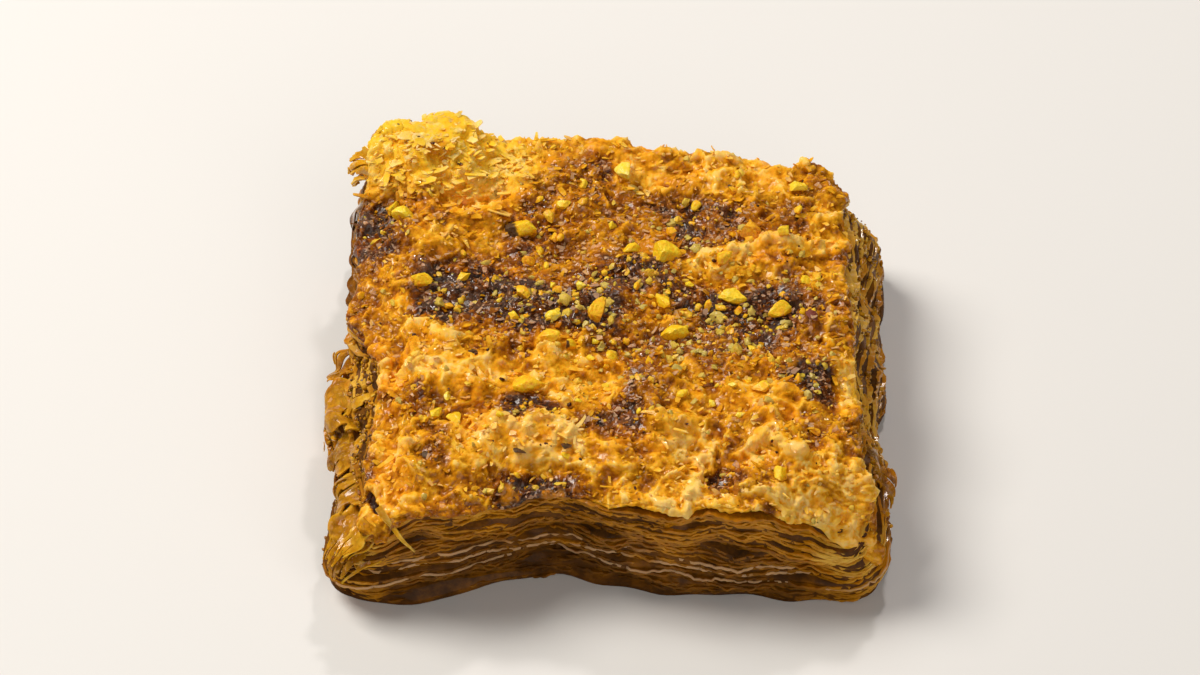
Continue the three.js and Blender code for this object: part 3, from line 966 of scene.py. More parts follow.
up = normals_of(crust)
fold_height, fold_share = creases(sheet)
crag = np.max([craggy * mound(plan[:, 0], plan[:, 1], *oval) for *oval, craggy in CRAGS], axis=0)
pale_front = smooth(4, 14, plan[:, 0]) * smooth(-19, -26, plan[:, 1])
brown = patches(sheet)
crumbly = (0.3 + 0.7 * smooth(0.32, 0.72, brown)) * (1 - 0.5 * crag)
soft = 1 - 0.7 * crumbly
lumpy = (1 - crag) * (1 - 0.8 * pale_front)

wander = np.stack([rough(sheet, 5, 2, shift) for shift in (12.1, 15.3, 18.9)], axis=1)
warped = sheet + 1.3 * wander
folded = ridges(warped, 5.2, 7.7, 1.6)
creased = ridges(warped * (1, 1.25, 1), 2.6, 4.1, 1.5)
wrinkled = ridges(warped, 1.25, 9.4, 1.4)
coarse_grain, coarse_own = grains(sheet, 1.15, 11)
fine_grain, fine_own = grains(sheet, 0.75, 21)
lump, _ = grains(warped, 3.6, 31)
lumplet, _ = grains(warped, 1.9, 41)
puff, puff_own = grains(warped, 2.8, 51)
puff_small, _ = grains(warped, 1.4, 61)

# %% Fibres of the pale front
FIBRES = {"way": (0.83, -0.56), "squeezed": 0.3}  # the way they run, and the noise is squeezed along it

run_x, run_y = FIBRES["way"]
lengthwise = FIBRES["squeezed"] * (run_x * warped[:, 0] + run_y * warped[:, 1])
crosswise = -run_y * warped[:, 0] + run_x * warped[:, 1]
fibrous = ridges(np.stack([lengthwise, crosswise, warped[:, 2]], axis=1), 1.1, 3.7, 1.5)

# %% The sum of the relief
BACK_OUTLINE = [(-25, 37, 4, 1.6), (-35.5, 35, 5, -0.9)]  # a tuft and a notch: middle x and y, radius, height
SLOT = {"line": (-34.3, -7, -33, -8.2), "deep": 1.2}  # a tear: x, and the mean of y and z, at both its ends

relief = (0.6 + 0.3 * crag) * (terraces(sheet, 9, 5, 2.3) - 0.5)
relief += (0.45 + 0.4 * crag) * (terraces(sheet * (1, 1.6, 1), 4.5, 4, 5.9) - 0.5)
relief += 0.24 * (terraces(sheet, 2.2, 4, 3.3) - 0.5)
relief += 0.75 * (folded**2 - 0.45) + 0.4 * lumpy * (0.55 - lump) * soft
relief += (0.1 + 0.2 * soft) * (creased**3 - 0.35) + 0.2 * lumpy * (0.55 - lumplet)
relief += 0.24 * (wrinkled**3 - 0.3)
puffed = 1.2 * (0.6 - puff) + 0.5 * (0.6 - puff_small) + 0.2 * (0.6 - fine_grain)
relief += 1.35 * fold_height + crag * puffed
relief += (0.5 * crag + 0.6 * pale_front) * (fibrous**3 - 0.3)
relief += 0.3 * crumbly * (0.6 - coarse_grain) * (0.5 + coarse_own)
relief += 0.22 * crumbly * (0.6 - fine_grain) * (0.5 + fine_own)
relief *= smooth(1, 0.25, over)
for *circle, rise in BACK_OUTLINE:
    relief += rise * mound(plan[:, 0], plan[:, 1], *circle)
to_slot = from_line(sheet[:, 0], (sheet[:, 1] + sheet[:, 2]) / 2, *SLOT["line"])
in_slot = smooth(0.75, 0.25, to_slot + 0.2 * rough(sheet, 0.9, 2, 6.1)) * smooth(-28, -31, sheet[:, 1])
relief -= SLOT["deep"] * in_slot
set_points(crust, sheet + up * relief[:, None])

# %% Fine wrinkles
WRINKLES = {"size": 0.7, "high": 0.2}

clouds = bpy.data.textures.new("wrinkles", "CLOUDS")
clouds.noise_scale = WRINKLES["size"] * MM
apply_modifier(crust, "DISPLACE", texture=clouds, strength=WRINKLES["high"] * MM, mid_level=0.5)

# %% Close the sheet inside the core
CAP = {"shrink": 0.8, "height": 6}

crust_points = points_of(crust)
bpy.ops.object.mode_set(mode="EDIT")
bpy.ops.mesh.select_mode(type="EDGE")
bpy.ops.mesh.select_all(action="DESELECT")
bpy.ops.mesh.select_non_manifold()
bpy.ops.mesh.extrude_region_move()
bpy.ops.mesh.edge_face_add()
bpy.ops.object.mode_set(mode="OBJECT")
capped = points_of(crust)
cap = slice(len(crust_points), None)
capped[cap, :2] *= CAP["shrink"]
capped[cap, 2] = CAP["height"]
set_points(crust, capped)
bpy.ops.object.mode_set(mode="EDIT")
bpy.ops.mesh.select_all(action="SELECT")
bpy.ops.mesh.normals_make_consistent(inside=False)
bpy.ops.object.mode_set(mode="OBJECT")

# %% Helpers for what a finish reads
def blurred(values, steps):
    """The mean over a square of the grid round each point."""
    grid = values.reshape(CRUST["deep"] + 1, CRUST["across"] + 1)
    for axis in (0, 1):
        first, last = grid.take([0] * (steps + 1), axis), grid.take([-1] * steps, axis)
        total = np.cumsum(np.concatenate([first, grid, last], axis), axis)
        size = grid.shape[axis]
        high = total.take(range(2 * steps + 1, 2 * steps + 1 + size), axis)
        low = total.take(range(size), axis)
        grid = (high - low) / (2 * steps + 1)
    return grid.ravel()


def dress(piece, brown, ridge, hollow, crag, ash=0.0):
    """Writes the numbers that the pastry's finish reads, each from 0 to 1."""
    count = len(piece.data.vertices)
    numbers = {"brown": brown, "ridge": ridge, "hollow": hollow, "crag": crag, "ash": ash}
    for name, values in numbers.items():
        full = np.zeros(count)
        values = np.broadcast_to(values, np.shape(values) or count)
        full[: len(values)] = np.clip(values, 0, 1)
        attribute(piece, name, full)


# %% What the crust's finish reads
raised = ((crust_points - sheet) * up).sum(axis=1)
own_tone = 0.5 + crumbly * (0.5 * (coarse_own - 0.5) + 0.4 * (fine_own - 0.5))
pale = folded**5 + 0.7 * creased**6
# Ridge: raised places painted lighter, partly pale dry folds and partly a painted highlight. Hollow: low
# places painted darker, partly gathered syrup and partly painted shade.
ridge = 0.47 + 0.42 * (raised - blurred(raised, 5)) + 0.3 * (own_tone - 0.5)
# In the tear, ridge is lowered and hollow and brown are raised: painted shade inside the slot.
ridge += 0.08 * pale * (1 - 0.6 * crumbly) + 0.14 * fold_share + 0.3 * crag * (puff_own - 0.5) - 0.4 * in_slot
hollow = 0.5 - 0.36 * (1 - 0.8 * crag) * (raised - blurred(raised, 18)) + 0.4 * in_slot
crust_brown = brown - 0.1 * fold_share + 0.8 * in_slot + 0.1 * smooth(0.15, 0.8, over)
dress(crust, crust_brown, ridge, hollow, crag)
attribute(crust, "amber", np.append(soaked(sheet), np.zeros(len(crust.data.vertices) - len(sheet))))
print("relief of the crust, mm:", raised.min().round(2), "to", raised.max().round(2))

# %% Where the ground is
GROUND_CELL = 0.45
ground_origin = crust_points[:, :2].min(axis=0) - GROUND_CELL
ground_index = np.floor((crust_points[:, :2] - ground_origin) / GROUND_CELL).astype(int)
ground_map = np.full(ground_index.max(axis=0) + 2, -9.0)
np.maximum.at(ground_map, (ground_index[:, 0], ground_index[:, 1]), crust_points[:, 2])


def ground(x, y):
    """The height of the crust at each x and y."""
    cell = np.floor((np.stack([x, y], axis=-1) - ground_origin) / GROUND_CELL).astype(int)
    cell = np.clip(cell, 0, np.array(ground_map.shape) - 1)
    return ground_map[cell[..., 0], cell[..., 1]]


def on_crust(x, y, margin=1.0):
    """Whether there is crust all round a place."""
    sides = [ground(x + dx, y + dy) for dx in (-margin, margin) for dy in (-margin, margin)]
    return np.min(sides, axis=0) > TOP_HEIGHT / 2


# %% [markdown]
# ## Small things, modelled once
# Flakes, crumbs and grains of nut come by the hundred, and chips by the thousand. One of each is modelled,
# and its points are then moved, turned and bent for every copy, and all the copies are written as one mesh.


# %% Many copies in one mesh
def many(name, model, all_points):
    """One mesh that holds a copy of the model for each set of points."""
    faces = [tuple(face.vertices) for face in model.data.polygons]
    count, size = all_points.shape[:2]
    mesh = bpy.data.meshes.new(name)
    every = [tuple(v + size * n for v in face) for n in range(count) for face in faces]
    mesh.from_pydata((all_points.reshape(-1, 3) * MM).tolist(), [], every)
    piece = bpy.data.objects.new(name, mesh)
    bpy.context.scene.collection.objects.link(piece)
    return piece


def rotation(axis, angle):
    """The matrix of a turn about axis 0, 1 or 2."""
    matrix = np.eye(3)
    second, third = (axis + 1) % 3, (axis + 2) % 3
    matrix[second, second] = matrix[third, third] = math.cos(angle)
    matrix[second, third], matrix[third, second] = -math.sin(angle), math.sin(angle)
    return matrix


def turns(draw, count, tilt, spin=None):
    """For each copy a turn about the vertical, drawn unless given, and a lean away from it, as matrices."""
    matrices = []
    for _ in range(count):
        drawn_spin, lean, way = 2 * math.pi * draw(), tilt * draw(), 2 * math.pi * draw()
        spun = rotation(2, drawn_spin if spin is None else spin)
        matrices.append(rotation(2, way) @ rotation(0, lean) @ rotation(2, way).T @ spun)
    return np.array(matrices)


# %% [markdown]
# ## Flakes
# A baked leaf shatters into flakes, and into chips of a millimetre that lie like gravel over the whole
# crust and make it look rough and dry between its wet places. A particle system could strew them, but its
# particles get lost on export, so each is a copy in one mesh. A flake is a small grid, thickened and
# pointed at one end. Each copy is curled, and lies almost flat on the crust, or stands up where the crust
# has burst into a clump.

# %% One flake and one chip
flake = start("flake", "grid", x_subdivisions=2, y_subdivisions=4, size=2)
chip = start("chip", "grid", x_subdivisions=1, y_subdivisions=2, size=2)


def flake_shape(flat, draw, length, width, curl):
    """The points of a flake that lies along y from its root at 0, in mm."""
    u, v = flat[:, 0], (flat[:, 1] + 1) / 2
    taper = 1 - (0.25 + 0.6 * draw()) * v ** (1 + 2 * draw())
    skew = 0.5 * (draw() - 0.5)
    jag = np.array([0.3 * (draw() - 0.5) for _ in u])
    x = 0.5 * width * u * taper * (1 + jag) + skew * length * v * v
    y = length * v * (1 + 0.25 * jag)
    z = curl * length * v * v + 0.5 * width * curl * u * u * (draw() - 0.3) + 0.08 * length * jag
    return np.stack([x, y, z], axis=1)


# %% Flakes at their places
NEAR_TOP = 20  # mm: the level at which loose things read how brown the crust is
BURST = (-26, 33, 12, 8)  # where flakes take the colour of the clump: middle x and y, radii along x and y


def scatter_flakes(name, model, spots, seed, broad, thick, pale=0.0, dusty_glinting=0.0):
    """Flakes at spots of x, y, length, turn, lift and sink. Broad: least and greatest width for a length.
    The last two: how many of the flakes are pale, and how many are pinkish grey, partly pale dust and partly
    painted glints."""
    draw = draws(seed)
    flat = points_of(model) * MM
    shapes = []
    for x, y, length, turn, lift, sink in spots:
        width = length * (broad[0] + (broad[1] - broad[0]) * draw())
        shape = flake_shape(flat, draw, length, width, 0.3 * (draw() - 0.6))
        for axis, angle in ((1, 0.9 * (draw() - 0.5)), (0, lift), (2, turn)):
            shape = shape @ rotation(axis, angle).T
        shapes.append(shape + (x, y, float(ground(x, y)) - sink))
    piece = many(name, model, np.array(shapes))
    roots = np.array([[x, y, NEAR_TOP] for x, y, *_ in spots])
    tone = np.array([draw() for _ in spots])
    below = patches(roots)
    is_pale = [draw() < pale for _ in spots]
    is_dusty_glinting = np.array([draw() < dusty_glinting for _ in spots])
    pale_shade = 0.1 + 0.2 * tone + 0.3 * smooth(0.6, 0.85, below)
    shade = np.where(is_pale, pale_shade, below - 0.04 + 0.28 * (tone - 0.5))
    # A share of the chips is painted pinkish grey: partly pale dust, partly painted glints.
    ash = is_dusty_glinting * (0.5 + 0.5 * smooth(0.4, 0.6, below) - 0.3 * smooth(0.75, 0.9, below))
    burst = mound(roots[:, 0], roots[:, 1], *BURST)
    tip = np.tile((flat[:, 1] + 1) / 2, len(spots))
    ridge = 0.5 + 0.25 * (tip - 0.4) + np.repeat((0.36 * (tone - 0.5) + 0.12) * burst, len(flat))
    shade, ash, burst = (np.repeat(values, len(flat)) for values in (shade, ash, burst))
    dress(piece, shade, ridge, 0.5, burst, ash * (1 - burst))
    apply_modifier(piece, "SOLIDIFY", thickness=thick * MM, offset=0)
    return piece


# %% Places for the flakes
def flake_spots(seed, count, wanted, lengths, lift, sink, heading=(0, math.pi)):
    """Draws spots for flakes: wanted gives the share kept at an x and y, heading a turn and its spread."""
    draw = draws(seed)
    spots = []
    while len(spots) < count:
        x, y = (draw() - 0.5) * (TOP_WIDTH + 2), (draw() - 0.5) * (TOP_DEPTH + 4)
        length = lengths[0] + (lengths[1] - lengths[0]) * draw() ** 2
        if draw() < wanted(x, y) and on_crust(x, y):
            turn = heading[0] + heading[1] * (2 * draw() - 1)
            spots.append((x, y, length, turn, lift[0] + (lift[1] - lift[0]) * draw(), sink))
    return spots


def in_clump(x, y):
    """How likely a flake is at a place of the clump."""
    return max(mound(x, y, -28, 31, 10, 7), 0.7 * mound(x, y, -17, 30, 8, 5))


# %% How brown it is, on a map
MAP_HALF = (37, 35)  # how far the map reaches from the middle along x and y, with a value a millimetre

map_x, map_y = np.meshgrid(*(np.arange(-half, half + 1.0) for half in MAP_HALF))
brown_map = patches(place(map_x, map_y, 1).reshape(-1, 3)).reshape(map_x.shape)


def scorched(x, y):
    """How brown the crust is near a place, read from the map."""
    column, row = (int(np.clip(round(at + half), 0, 2 * half)) for at, half in zip((x, y), MAP_HALF))
    return brown_map[row, column]


def chips_wanted(x, y):
    """Chips lie thickest where the crust is dry and brown, and thinly where it is pale and soft."""
    return 0.45 + 0.55 * smooth(0.35, 0.6, scorched(x, y))


# %% Scatter the flakes
def right_of_clump(x, y):
    """The right part of the clump, where its few long flakes lie."""
    return in_clump(x, y) * (x > -22)


clump_spots = flake_spots(81, 6, right_of_clump, (3, 4.4), (-0.12, 0.1), 0.2, (-2.1, 0.5))
clump_spots += flake_spots(85, 300, in_clump, (0.7, 2.0), (-0.1, 0.55), 0.25)
broad_spots = flake_spots(88, 150, in_clump, (0.8, 2.4), (0.0, 0.5), 0.25)
flat_spots = flake_spots(82, 220, lambda x, y: 0.8, (1.0, 3.0), (-0.08, 0.12), 0.05)
chip_spots = flake_spots(86, 4200, chips_wanted, (0.45, 1.3), (-0.3, 0.5), 0.1)
narrow_clump = scatter_flakes("narrow_clump", flake, clump_spots, 83, (0.2, 0.5), 0.16)
broad_clump = scatter_flakes("broad_clump", flake, broad_spots, 89, (0.4, 0.9), 0.16)
clump = join("clump_flakes", [narrow_clump, broad_clump])
loose_flakes = scatter_flakes("loose_flakes", flake, flat_spots, 84, (0.16, 0.42), 0.14)
chips = scatter_flakes("chips", chip, chip_spots, 87, (0.35, 0.9), 0.12, 0.08, 0.3)
print(len(clump_spots + broad_spots + flat_spots), "flakes and", len(chip_spots), "chips")

# %% [markdown]
# ## Torn leaves
# At the corners and on the left, whole ends of leaves have torn loose and hang down, wet and fibrous. A
# cloth simulation would drape them, but it would also change with every small edit, so each one is a grid,
# cut ragged in edit mode, bent along a curve through three points and thickened.


# %% A sheet along a curve
SHEET = {"x_subdivisions": 24, "y_subdivisions": 32}
SHEET_THICK = 0.26


def along_curve(path, share):
    """Points and directions on the smooth curve through three points."""
    first, middle, last = (np.array(p, float) for p in path)
    t = share[:, None]
    spot = first * (1 - t) * (1 - 2 * t) + middle * 4 * t * (1 - t) + last * t * (2 * t - 1)
    way = first * (4 * t - 3) + middle * (4 - 8 * t) + last * (4 * t - 1)
    return spot, way / np.linalg.norm(way, axis=1, keepdims=True)


def cut_away(piece, torn):
    """Deletes the faces that have at least three torn points."""
    bpy.ops.object.mode_set(mode="EDIT")
    bpy.ops.mesh.select_mode(type="FACE")
    bpy.ops.object.mode_set(mode="OBJECT")
    for face in piece.data.polygons:
        face.select = bool(sum(torn[list(face.vertices)]) >= 3)
    bpy.ops.object.mode_set(mode="EDIT")
    bpy.ops.mesh.delete(type="FACE")
    bpy.ops.object.mode_set(mode="OBJECT")


def across_and_along(piece):
    """For each point of a flat grid u from -1 to 1 across it, and v from 0 to 1 along it."""
    flat = points_of(piece) * MM
    return flat[:, 0], (flat[:, 1] + 1) / 2


# %% One torn leaf
def torn_sheet(seed, path, across, halves, shade, fray=0.25, hole=None):
    """A torn leaf along a path, with its half widths on the way. A hole is u, v, two radii and a slant."""
    piece = start(f"torn_{seed}", "grid", size=2, **SHEET)
    u, v = across_and_along(piece)
    fibre, edge, ripple = waves(seed + 1, 0.5, 7), waves(seed + 2, 0.45, 8), waves(seed, 5, 6)
    ends = waves(seed + 3, 0.3, 8)
    torn = abs(u) > 1 - fray * np.maximum(edge(v, np.sign(u)), 0)
    torn |= v > 1 - 1.6 * fray * abs(ends(u, 0 * u))
    if hole:
        hole_u, hole_v, wide, tall, slant = hole
        torn |= np.hypot((u - hole_u - slant * (v - hole_v)) / wide, (v - hole_v) / tall) < 1
    cut_away(piece, torn)
    u, v = across_and_along(piece)
    spot, way = along_curve(path, v)
    side = np.array(across, float) / np.linalg.norm(across)
    facing = np.cross(side, way)
    facing /= np.linalg.norm(facing, axis=1, keepdims=True)
    half = np.interp(v, np.linspace(0, 1, len(halves)), halves)
    spread = u * half * (1 + 0.1 * edge(v, 0 * v))
    streak = fibre(u * half / 3, 0.3 * v)
    rise = 0.4 * ripple(spot[:, 0] + spread, spot[:, 1], spot[:, 2]) + 0.1 * streak
    set_points(piece, spot + side * spread[:, None] + facing * rise[:, None])
    apply_modifier(piece, "SMOOTH", factor=0.5, iterations=2)
    border = smooth(0.75, 1, np.maximum(abs(u), v))
    dress(piece, shade + 0.07 * streak - 0.15 * border, 0.5 + 0.06 * streak + 0.08 * border, 0.5, 0.0)
    apply_modifier(piece, "SOLIDIFY", thickness=SHEET_THICK * MM, offset=0)
    return piece


# %% The torn leaves
FLAP_HOLE = (-0.2, 0.16, 0.22, 0.1, 0.2)
# Seed, root, middle and tip of the path, way across, half widths, how brown; for some the fray and a hole.
FRONT_LEFT = [
    (74, [(-32.8, -34.4, 18.6), (-30.4, -36.5, 15.7), (-27.4, -37.3, 12.1)], (1, 0.4, 0.6), (0.55, 0.4, 0.1),
     0.2, 0.08),  # a splinter
    (75, [(-34, -31, 12.6), (-38, -34, 10.8), (-40.6, -36, 8)], (1, -1, 0), (4, 3.4, 1.6), 0.5),
    (63, [(-33, -31, 10.6), (-37.6, -35, 9), (-39.6, -37.2, 5.6)], (1, -0.8, 0), (4.6, 4, 2), 0.6),
    (64, [(-34, -33.5, 13.8), (-36.6, -35.4, 12.2), (-38.6, -36.6, 10)], (1, -0.6, 0.2), (2.4, 2, 0.7), 0.36),
]
AT_THE_SIDES = [
    (76, [(-34, 2, 14.5), (-39, 1, 12), (-41.8, 0, 9)], (0, 1, 0), (4.5, 3.5, 1), 0.5),
    (65, [(-36, -8.5, 12.6), (-41, -8, 11), (-42, -7.4, 5)], (0, 1, 0), (5, 5.5, 4.2), 0.5, 0.25, FLAP_HOLE),
    (69, [(-31.5, -7, 18), (-36, -8, 15.4), (-38.6, -8.4, 11)], (0, 1, 0), (3, 3.6, 2.8), 0.36),
    (70, [(-32, -18, 17.4), (-36, -19, 14), (-38, -20, 9.6)], (0, 1, 0), (3.6, 3.4, 2), 0.46),
    (66, [(-36, -16, 12), (-39.6, -16.6, 9.6), (-40, -16.8, 4.5)], (0, 1, 0.1), (4, 4.2, 3.4), 0.56),
    (67, [(-35, -25, 14), (-38.4, -26, 12), (-39, -27, 8)], (0, 1, 0), (4.5, 4, 1.6), 0.5),
    (77, [(-33, 32, 22), (-37, 34, 21.5), (-39.4, 35.5, 18)], (-0.3, 1, 0), (3.4, 3.4, 2.2), 0.3),
    (79, [(-34.5, 27, 19.5), (-37.4, 27, 15), (-38.4, 26, 8)], (0, 1, 0), (4, 5, 5), 0.85),
    (68, [(-34, 33, 20.4), (-38, 34.4, 19.4), (-39.4, 35.4, 16.2)], (-0.3, 1, 0), (3.4, 3.2, 2), 0.36),
    (78, [(36, -20, 14), (40, -22, 13), (41.6, -25.2, 8.5)], (0.3, 1, 0), (3.5, 3, 1.6), 0.62),
]
front_left = join("torn_front_left", [torn_sheet(*leaf) for leaf in FRONT_LEFT])
side_sheets = join("torn_sides", [torn_sheet(*leaf) for leaf in AT_THE_SIDES])
print(len(FRONT_LEFT), "torn leaves at the front left and", len(AT_THE_SIDES), "at the sides")

# %% [markdown]
# ## Crumbs
# Crumbs of leaf lie everywhere, thickest where the crust is scorched, and in the wet sides too. A bump in
# the finish could stand in for them, but it would show no shadows. So a crumb is the smallest ico sphere
# that Blender makes, 20 faces, squeezed and turned, and a few thousand of them are still cheap.

# %% Crumbs
CRUMBS = {"count": 1500, "sizes": (0.25, 0.75)}

crumb = start("crumb", "ico_sphere", subdivisions=1, radius=0.5)


def crumb_spots(seed, count, sizes, wanted):
    """Draws x, y and size for crumbs."""
    draw = draws(seed)
    spots = []
    while len(spots) < count:
        x, y = (draw() - 0.5) * (TOP_WIDTH + 1), (draw() - 0.5) * (TOP_DEPTH + 2)
        size = sizes[0] + (sizes[1] - sizes[0]) * draw() ** 2.5
        if draw() < wanted(x, y):
            spots.append((x, y, size))
    return np.array(spots)


def scatter_crumbs(name, model, spots, seed, sunk=0.1):
    """Crumbs at spots of x, y and size, sunk a little into the crust, and the places where they lie."""
    draw = draws(seed)
    count = len(spots)
    crumb_round = points_of(model) * MM
    stretch = np.array([(1.25, 0.75 + 0.4 * draw(), 0.5 + 0.4 * draw()) for _ in range(count)])
    jag = np.array([draw() for _ in range(count * len(crumb_round))]).reshape(count, -1, 1)
    shapes = crumb_round[None] * stretch[:, None] * (0.7 + 0.6 * jag) * spots[:, 2, None, None]
    shapes = np.einsum("nij,nvj->nvi", turns(draw, count, 1.2), shapes)
    spot = place(spots[:, 0], spots[:, 1], 1)
    spot[:, 2] = ground(spot[:, 0], spot[:, 1]) - sunk
    kept = on_crust(spot[:, 0], spot[:, 1], 0.3)
    return many(name, model, (shapes + spot[:, None])[kept]), spot[kept]


def crumbs_wanted(x, y):
    """Crumbs lie thinly where the crust is golden, and thickly where it is scorched."""
    return 0.06 + max(0, 1.6 * (scorched(x, y) - 0.45))


# %% Crumbs on the top
crumb_wishes = crumb_spots(91, CRUMBS["count"], CRUMBS["sizes"], crumbs_wanted)
crumbs, crumb_places = scatter_crumbs("crumbs", crumb, crumb_wishes, 92)
corners = len(crumb.data.vertices)
crumb_draw = draws(93)
crumb_tone = np.repeat([crumb_draw() for _ in crumb_places], corners)
crumb_shade = np.repeat(patches(crumb_places), corners)
dress(crumbs, 0.75 * crumb_shade + 0.7 * (crumb_tone - 0.55), 0.5, 0.5, 0)
print(len(crumb_places), "crumbs on the top")

# %% Crumbs on the sides
SLOPES = [(-TOP_WIDTH / 2, -31, 5, 900), (TOP_WIDTH / 2, -31, 33, 500)]  # x, from y to y, and how many crumbs

draw = draws(96)
slope_places = []
for edge, near, back, count in SLOPES:
    for _ in range(count):
        slope_places.append(place(edge, near + (back - near) * draw(), 0.3 + 0.68 * draw() ** 0.8, 0.1))
slope_places = np.array(slope_places)
stretch = np.array([(1.3, 0.7 + 0.5 * draw(), 0.4 + 0.4 * draw()) for _ in slope_places])
size = np.array([0.3 + 0.8 * draw() ** 2 for _ in slope_places])
shapes = (points_of(crumb) * MM)[None] * (stretch * size[:, None])[:, None]
shapes = np.einsum("nij,nvj->nvi", turns(draw, len(slope_places), 1.5), shapes)
slope_crumbs = many("slope_crumbs", crumb, shapes + slope_places[:, None])
dress(slope_crumbs, np.repeat([0.3 + 0.5 * draw() for _ in slope_places], corners), 0.5, 0.5, 0)
print(len(slope_places), "crumbs on the sides")

# %% Burnt specks
def specks_wanted(x, y):
    """Black specks show where the crust is pale, and the same crumbs serve, scorched through."""
    return max(0.05, 1.1 - 1.4 * scorched(x, y))


speck_spots = crumb_spots(94, 70, (0.3, 0.8), specks_wanted)
specks, _ = scatter_crumbs("burnt_specks", crumb, speck_spots, 95, 0.05)
dress(specks, 1.0, 0.5, 0.6, 0)
print(len(speck_spots), "burnt specks")

# %% [markdown]
# ## Pistachios
# A chopped nut has flat cut faces with sharp edges between them, and rounded ones where its skin was. A
# cube with bevelled edges would look like a sweet, so an ico sphere is cut by a few random planes: a point
# beyond a plane is pressed back on to it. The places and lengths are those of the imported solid.

# %% Places of the bits
# Middle x and y, length, turn in degrees, how much one end tapers, tone from orange to pale, share of skin.
LARGE_BITS = [
    (-12.6, 18.9, 4.6, 15, 0.1, 0.45, 0.35),
    (2.7, 29.6, 3.6, -75, 0.5, 1.0, 0),
    (21.4, 18.2, 4, 90, 0.9, 0.05, 0),
    (8.7, 13.9, 4.1, 5, 0.2, 0.6, 0),
    (18.7, 6.5, 3.9, -10, 0.3, 0.7, 0),
    (25.7, 3.7, 3.6, -160, 0.5, 0.5, 0),
    (9.8, -2.1, 3.6, 30, 0.2, 0.6, 0),
    (8.4, 4.1, 3, -55, 0.3, 0.55, 0),
    (-1.2, 1.4, 3.7, 80, 0.4, 0.2, 0),
    (-12.5, 4.3, 2.8, -60, 0.3, 0.2, 0),
    (-27.5, 7.9, 3.3, -20, 0.5, 0.5, 0),
    (-21.1, 9.7, 2.4, 30, 0.6, 0.5, 0),
    (-30.3, 20.4, 3.5, 0, 0.4, 0.8, 0),
    (-32.2, 22.4, 2.5, 40, 0.1, 0.6, 0),
    (-11.4, -13.6, 4.3, -10, 0.5, 0.3, 0),
    (25, -29.1, 3.2, 60, 0.7, 0.6, 0),
    (-22.1, -18.8, 2.5, 80, 0.2, 0.55, 0),
    (-24.9, -18.3, 2.3, 70, 0.2, 0.6, 0),
    (29.1, 29, 2.8, 0, 0.1, 0.7, 0),
    (17.3, 12.2, 3, 20, 0.2, 0.4, 0),
    (-8.4, -4.8, 3.2, 10, 0.4, 0.3, 0),
    (-5.2, -5, 2.5, 50, 0.3, 0.5, 0.3),
    (31.6, 9.2, 2.5, -30, 0.5, 0.5, 0),
    (3.7, 14.2, 2.9, 30, 0.4, 0.45, 0),
    (-6.6, 22.6, 2.4, 0, 0.5, 0.6, 0),
]
# Bits of skin without a nut: the same values.
SKINS = [
    (-19.7, -6.5, 1.9, 80, 0.3, 0.2, 1),
    (-25.9, -26.4, 1.6, -40, 0.4, 0.1, 1),
    (-5.9, -27.7, 1.5, 0, 0.3, 0.1, 1),
    (-12.6, -29.6, 1.9, -30, 0.4, 0.3, 1),
    (31.6, 0.2, 3, -70, 0.5, 1.0, 1),
]
SMALL_BITS = {"count": 42, "shortest": 1.3, "longest": 2.3, "seed": 5}


def small_bits():
    """The small bits lie thickest right of the middle, as a pinch of nuts falls."""
    draw = draws(SMALL_BITS["seed"])
    found = []
    while len(found) < SMALL_BITS["count"]:
        x = (draw() - 0.5) * (TOP_WIDTH - 8)
        y = (draw() - 0.5) * (TOP_DEPTH - 8)
        length = SMALL_BITS["shortest"] + (SMALL_BITS["longest"] - SMALL_BITS["shortest"]) * draw() ** 2
        wanted = 0.12 + 0.88 * bell(math.hypot((x - 9) / 20, (y - 1) / 20))
        others = LARGE_BITS + found
        clear = all(math.hypot(x - bx, y - by) > 0.65 * (length + other) for bx, by, other, *_ in others)
        if draw() < wanted and clear:
            found.append((x, y, length))
    return found


# %% Chop a nut
def chopped(ball, draw, cuts):
    """A ball of radius 1 with random flat cuts."""
    points = ball * (1 + 0.05 * np.sin(3 * ball[:, [1]] + 6 * draw()))
    for _ in range(cuts):
        climb, turn = 2 * draw() - 1, 2 * math.pi * draw()
        flat = math.sqrt(1 - climb * climb)
        way = np.array([flat * math.cos(turn), flat * math.sin(turn), climb])
        beyond = np.maximum(points @ way - (0.45 + 0.3 * draw()), 0)
        points = points - beyond[:, None] * way
    return points


# %% Lay the nuts
CUTS = 9  # flat cuts on each bit


